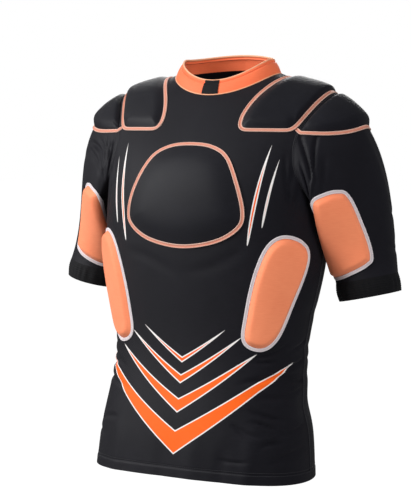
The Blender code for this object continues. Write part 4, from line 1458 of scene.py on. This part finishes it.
def inner_shoulder_patch(across_share, over):
    """The body over the shoulder seam, by two shares.

    Across runs from the neck side (-1) to the armhole (1), over from the front edge (-1) through the
    seam (0) to the back edge (1).
    """
    drop = over**2
    share = (across_share + 1) / 2
    arm_height = between(ARMHOLE_CURVE[-1][0], INNER_PAD_BOTTOM, drop)
    arm_side = spline(ARMHOLE_CURVE, arm_height) - INNER_PAD_ARMHOLE_MARGIN
    neck_side = between(INNER_PAD_SEAM_NECK, INNER_PAD_FRONT_NECK, drop * (2 - drop))
    seam_across = between(INNER_PAD_SEAM_NECK, SHOULDER_TIP - INNER_PAD_ARMHOLE_MARGIN, share)
    height = between(shoulder_height(seam_across, FRONT), INNER_PAD_BOTTOM, drop)
    turn = turn_at(between(neck_side, arm_side, share), height)
    front, back = (torso_point(turn, height, side) for side in (FRONT, BACK))
    return np.where((over < 0)[..., None], front, back)


def outer_pad_place(turn_share, reach_share):
    """The outer shoulder pad's place on the sleeve: angle in degrees, and share along."""
    full = 1 - np.abs(turn_share) ** OUTER_PAD_FULLNESS
    reach = between(OUTER_PAD_CORNER_REACH, OUTER_PAD_REACH, full)
    along = between(OUTER_PAD_ARMHOLE_MARGIN, reach, (reach_share + 1) / 2)
    return turn_share * OUTER_PAD_TURN, along


def tape_line(edge):
    """The outer pad's lower edge on the sleeve, lengthened at both ends past the armhole seam."""
    line = together(*outer_pad_place(*edge.T))
    ends = line[[0, -1]]
    ends[:, 1] = OUTER_TAPE_START
    return np.concatenate((ends[:1], line, ends[1:]))


def make_pads(ring, finishes):
    """All pads, with the tapes and bindings round them and the stitches on those."""

    def sleeve_patch(angle_degrees, along):
        """The left sleeve by angle in degrees and share along."""
        return sleeve_point(ring, np.radians(angle_degrees), along)

    def outer_shoulder_patch(turn_share, reach_share):
        """The left sleeve by the outer shoulder pad's two shares."""
        return sleeve_patch(*outer_pad_place(turn_share, reach_share))

    corners = mirrored_corners(CHEST_OUTLINE)
    pad = (chest_patch, disc_places(corners), (1.0, 1.0), CHEST_FORM, finishes["pad"])
    add_pad("chest_cushion", "chest_pad", SIDES[:1], *pad)
    tape = (chest_patch, closed_curve(corners), TAPE, finishes["tape"])
    peach = add_trim("chest_edge_tape", "chest_tape", SIDES[:1], *tape)

    pale = []
    rib_size = (np.radians(1) * RIB_GIRTH_RADIUS, 1.0)
    bicep_size = (np.radians(1) * SLEEVE_GIRTH_RADIUS, SLEEVE_LENGTH)
    rows = (
        ("rib", rib_patch, RIB_OUTLINE, rib_size, RIB_FORM, TRIM_LIFT),
        ("bicep", sleeve_patch, BICEP_OUTLINE, bicep_size, BICEP_FORM, SLEEVE_BINDING_LIFT),
    )
    for kind, patch, corners, size, form, lift in rows:
        pad = (patch, disc_places(corners), size, form, finishes["foam"])
        add_pad("{}_" + kind + "_cushion", kind + "_pad_{}", SIDES, *pad)
        binding = (patch, closed_curve(corners), BINDING, finishes["binding"], lift)
        pale += add_trim("{}_" + kind + "_binding", kind + "_border_{}", SIDES, *binding)

    inner = np.swapaxes(rounded_square(*INNER_PAD_GRID), 0, 1)[::-1]
    outer = rounded_square(*OUTER_PAD_GRID)
    thicker = between(OUTER_PAD_THIN_SHARE, 1.0, (outer[..., 1] + 1) / 2)
    lower_edge = tape_line(far_side(outer, len(outer) // 2))
    inner_pad = (inner_shoulder_patch, inner, INNER_PAD_HALF_SIZE, INNER_SHOULDER_FORM)
    outer_pad = (outer_shoulder_patch, outer, OUTER_PAD_HALF_SIZE, OUTER_SHOULDER_FORM)
    rows = (
        ("inner", inner_pad, 1.0, inner_shoulder_patch, border_of(inner), True),
        ("outer", outer_pad, thicker, sleeve_patch, lower_edge, False),
    )
    for kind, pad, thickness, patch, edge, closed in rows:
        names = ("{}_" + kind + "_shoulder_cushion", "shoulder_pad_" + kind + "_{}")
        add_pad(*names, SIDES, *pad, finishes["pad"], thickness, divided=True)
        names = ("{}_" + kind + "_shoulder_tape", "shoulder_tape_" + kind + "_{}")
        peach += add_trim(*names, SIDES, patch, edge, TAPE, finishes["tape"], closed=closed)
    add_stitches("tape_stitches", peach, finishes["peach_thread"])
    add_stitches("binding_stitches", pale, finishes["pale_thread"])


def seam_rings(points, normals, closed):
    """A flat-lock seam's low ridge carried along a line of the cloth."""
    aside = unit(np.cross(normals, steps_along(points, closed)))
    across, height = np.asarray(SEAM_PROFILE).T[..., None]
    out = across * SEAM_WIDTH / 2 * aside[:, None]
    return points[:, None] + out + height * SEAM_HEIGHT * normals[:, None]


def make_seams(front, back, at_front, at_sleeve, panels, finishes):
    """Flat-lock seams at the sides, armholes and shoulders, and the stitches of seams and hem."""
    seams = (
        ("side_seam", front[SIDE_EDGE], at_front[SIDE_EDGE], False),
        ("armhole_seam", armhole_ring(front, back), at_sleeve[0], True),
        ("shoulder_seam", front[SHOULDER_EDGE], at_front[SHOULDER_EDGE], False),
    )
    lines = []
    for kind, points, normals, closed in seams:
        for side, mirror in SIDES:
            folded = points + side_folds(points[:, 2], mirror)[:, None] * normals
            rings = seam_rings(folded, normals, closed)
            add_tube(f"{side}_{kind}", mirrored(rings, mirror), finishes["knit"], None, closed)
            aside = unit(rings[:, -1] - rings[:, 0]) * SEAM_WIDTH / 4
            for step in (-aside, aside):
                tops = folded + SEAM_HEIGHT * normals + step
                lines.append((mirrored(tops, mirror), mirrored(normals, mirror), closed))
    above_hem = front[:, -1, 2] - HEM_HEIGHT
    for outer, outward in panels:
        for row_height in HEM_STITCH_ROWS:
            row = np.argmin(np.abs(above_hem - row_height))
            lines.append((outer[row], outward[row], False))
    add_stitches("seam_stitches", lines, finishes["grey_thread"])


def add_aimed(name, data, place, aim, roll=0.0):
    """A camera or light at a place, turned to its aim and rolled about its own axis."""
    thing = bpy.data.objects.new(name, data)
    turn = Vector(np.subtract(aim, place)).to_track_quat("-Z", "Y").to_matrix().to_4x4()
    thing.matrix_world = Matrix.Translation(place) @ turn @ Matrix.Rotation(roll, 4, "Z")
    bpy.context.scene.collection.objects.link(thing)
    return thing


def make_camera():
    """The camera at the picture's viewing angle, rolled by a little about its own axis."""
    place = CAMERA_DISTANCE * around(CAMERA_AZIMUTH, FORWARD, ACROSS) + CAMERA_HEIGHT * UP
    aim = AIM_ASIDE * around(CAMERA_AZIMUTH, ACROSS, -FORWARD) + AIM_HEIGHT * UP
    lens = bpy.data.cameras.new("camera")
    lens.lens = CAMERA_LENS
    lens.sensor_width = CAMERA_SENSOR
    bpy.context.scene.camera = add_aimed("camera", lens, place, aim, CAMERA_ROLL)


def add_light(name, place, size, power, glossy):
    """A square soft light aimed at the top's middle, that may stay out of reflections."""
    light = bpy.data.lights.new(name, "AREA")
    light.size = size
    light.energy = power
    lamp = add_aimed(name, light, place, LIGHT_AIM)
    lamp.visible_glossy = glossy


def make_studio():
    """Pale floor, white surroundings that light more softly than they look, and the lights."""
    scene = bpy.context.scene
    scene.view_settings.view_transform = "Standard"
    world = bpy.data.worlds.new("studio")
    world.use_nodes = True
    tree = world.node_tree
    seen = new_node(tree, "ShaderNodeLightPath", {})["Is Camera Ray"]
    level = ramp_node(tree, seen, 0.0, 1.0, AMBIENT, 1.0)
    set_inputs(tree, tree.nodes["Background"], {"Color": WHITE, "Strength": level})
    scene.world = world
    corners = FLOOR_HALF_SIDE * np.array(((-1, -1, 0), (1, -1, 0), (1, 1, 0), (-1, 1, 0)))
    mesh = bpy.data.meshes.new("floor")
    mesh.from_pydata((corners + FLOOR_HEIGHT * UP).tolist(), [], [(0, 1, 2, 3)])
    mesh.materials.append(floor_material())
    floor = bpy.data.objects.new("floor", mesh)
    scene.collection.objects.link(floor)
    for light in LIGHTS:
        add_light(*light)


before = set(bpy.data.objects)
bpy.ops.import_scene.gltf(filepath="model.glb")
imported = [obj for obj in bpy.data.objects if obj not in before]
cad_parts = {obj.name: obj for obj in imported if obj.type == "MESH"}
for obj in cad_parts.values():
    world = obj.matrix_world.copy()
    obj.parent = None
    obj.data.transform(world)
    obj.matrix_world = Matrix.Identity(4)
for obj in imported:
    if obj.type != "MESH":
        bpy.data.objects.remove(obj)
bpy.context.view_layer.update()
make_camera()
make_studio()
finishes = make_finishes()
front = half_panel(FRONT)
back = half_panel(BACK)
ring = armhole_ring(front, back)
ring_angles = np.linspace(0, TURN, len(ring), endpoint=False)
sleeve = sleeve_point(ring, ring_angles, np.linspace(0, 1, SLEEVE_ROWS + 1)[:, None])
at_front, at_back, at_sleeve = seam_normals(front, back, sleeve)
panels = make_panels(front, back, at_front, at_back, finishes)
make_sleeves(sleeve, at_sleeve, finishes)
make_cuffs(len(ring), finishes)
make_collar(neck_ring(front, back), finishes)
make_pads(ring, finishes)
make_seams(front, back, at_front, at_sleeve, panels, finishes)
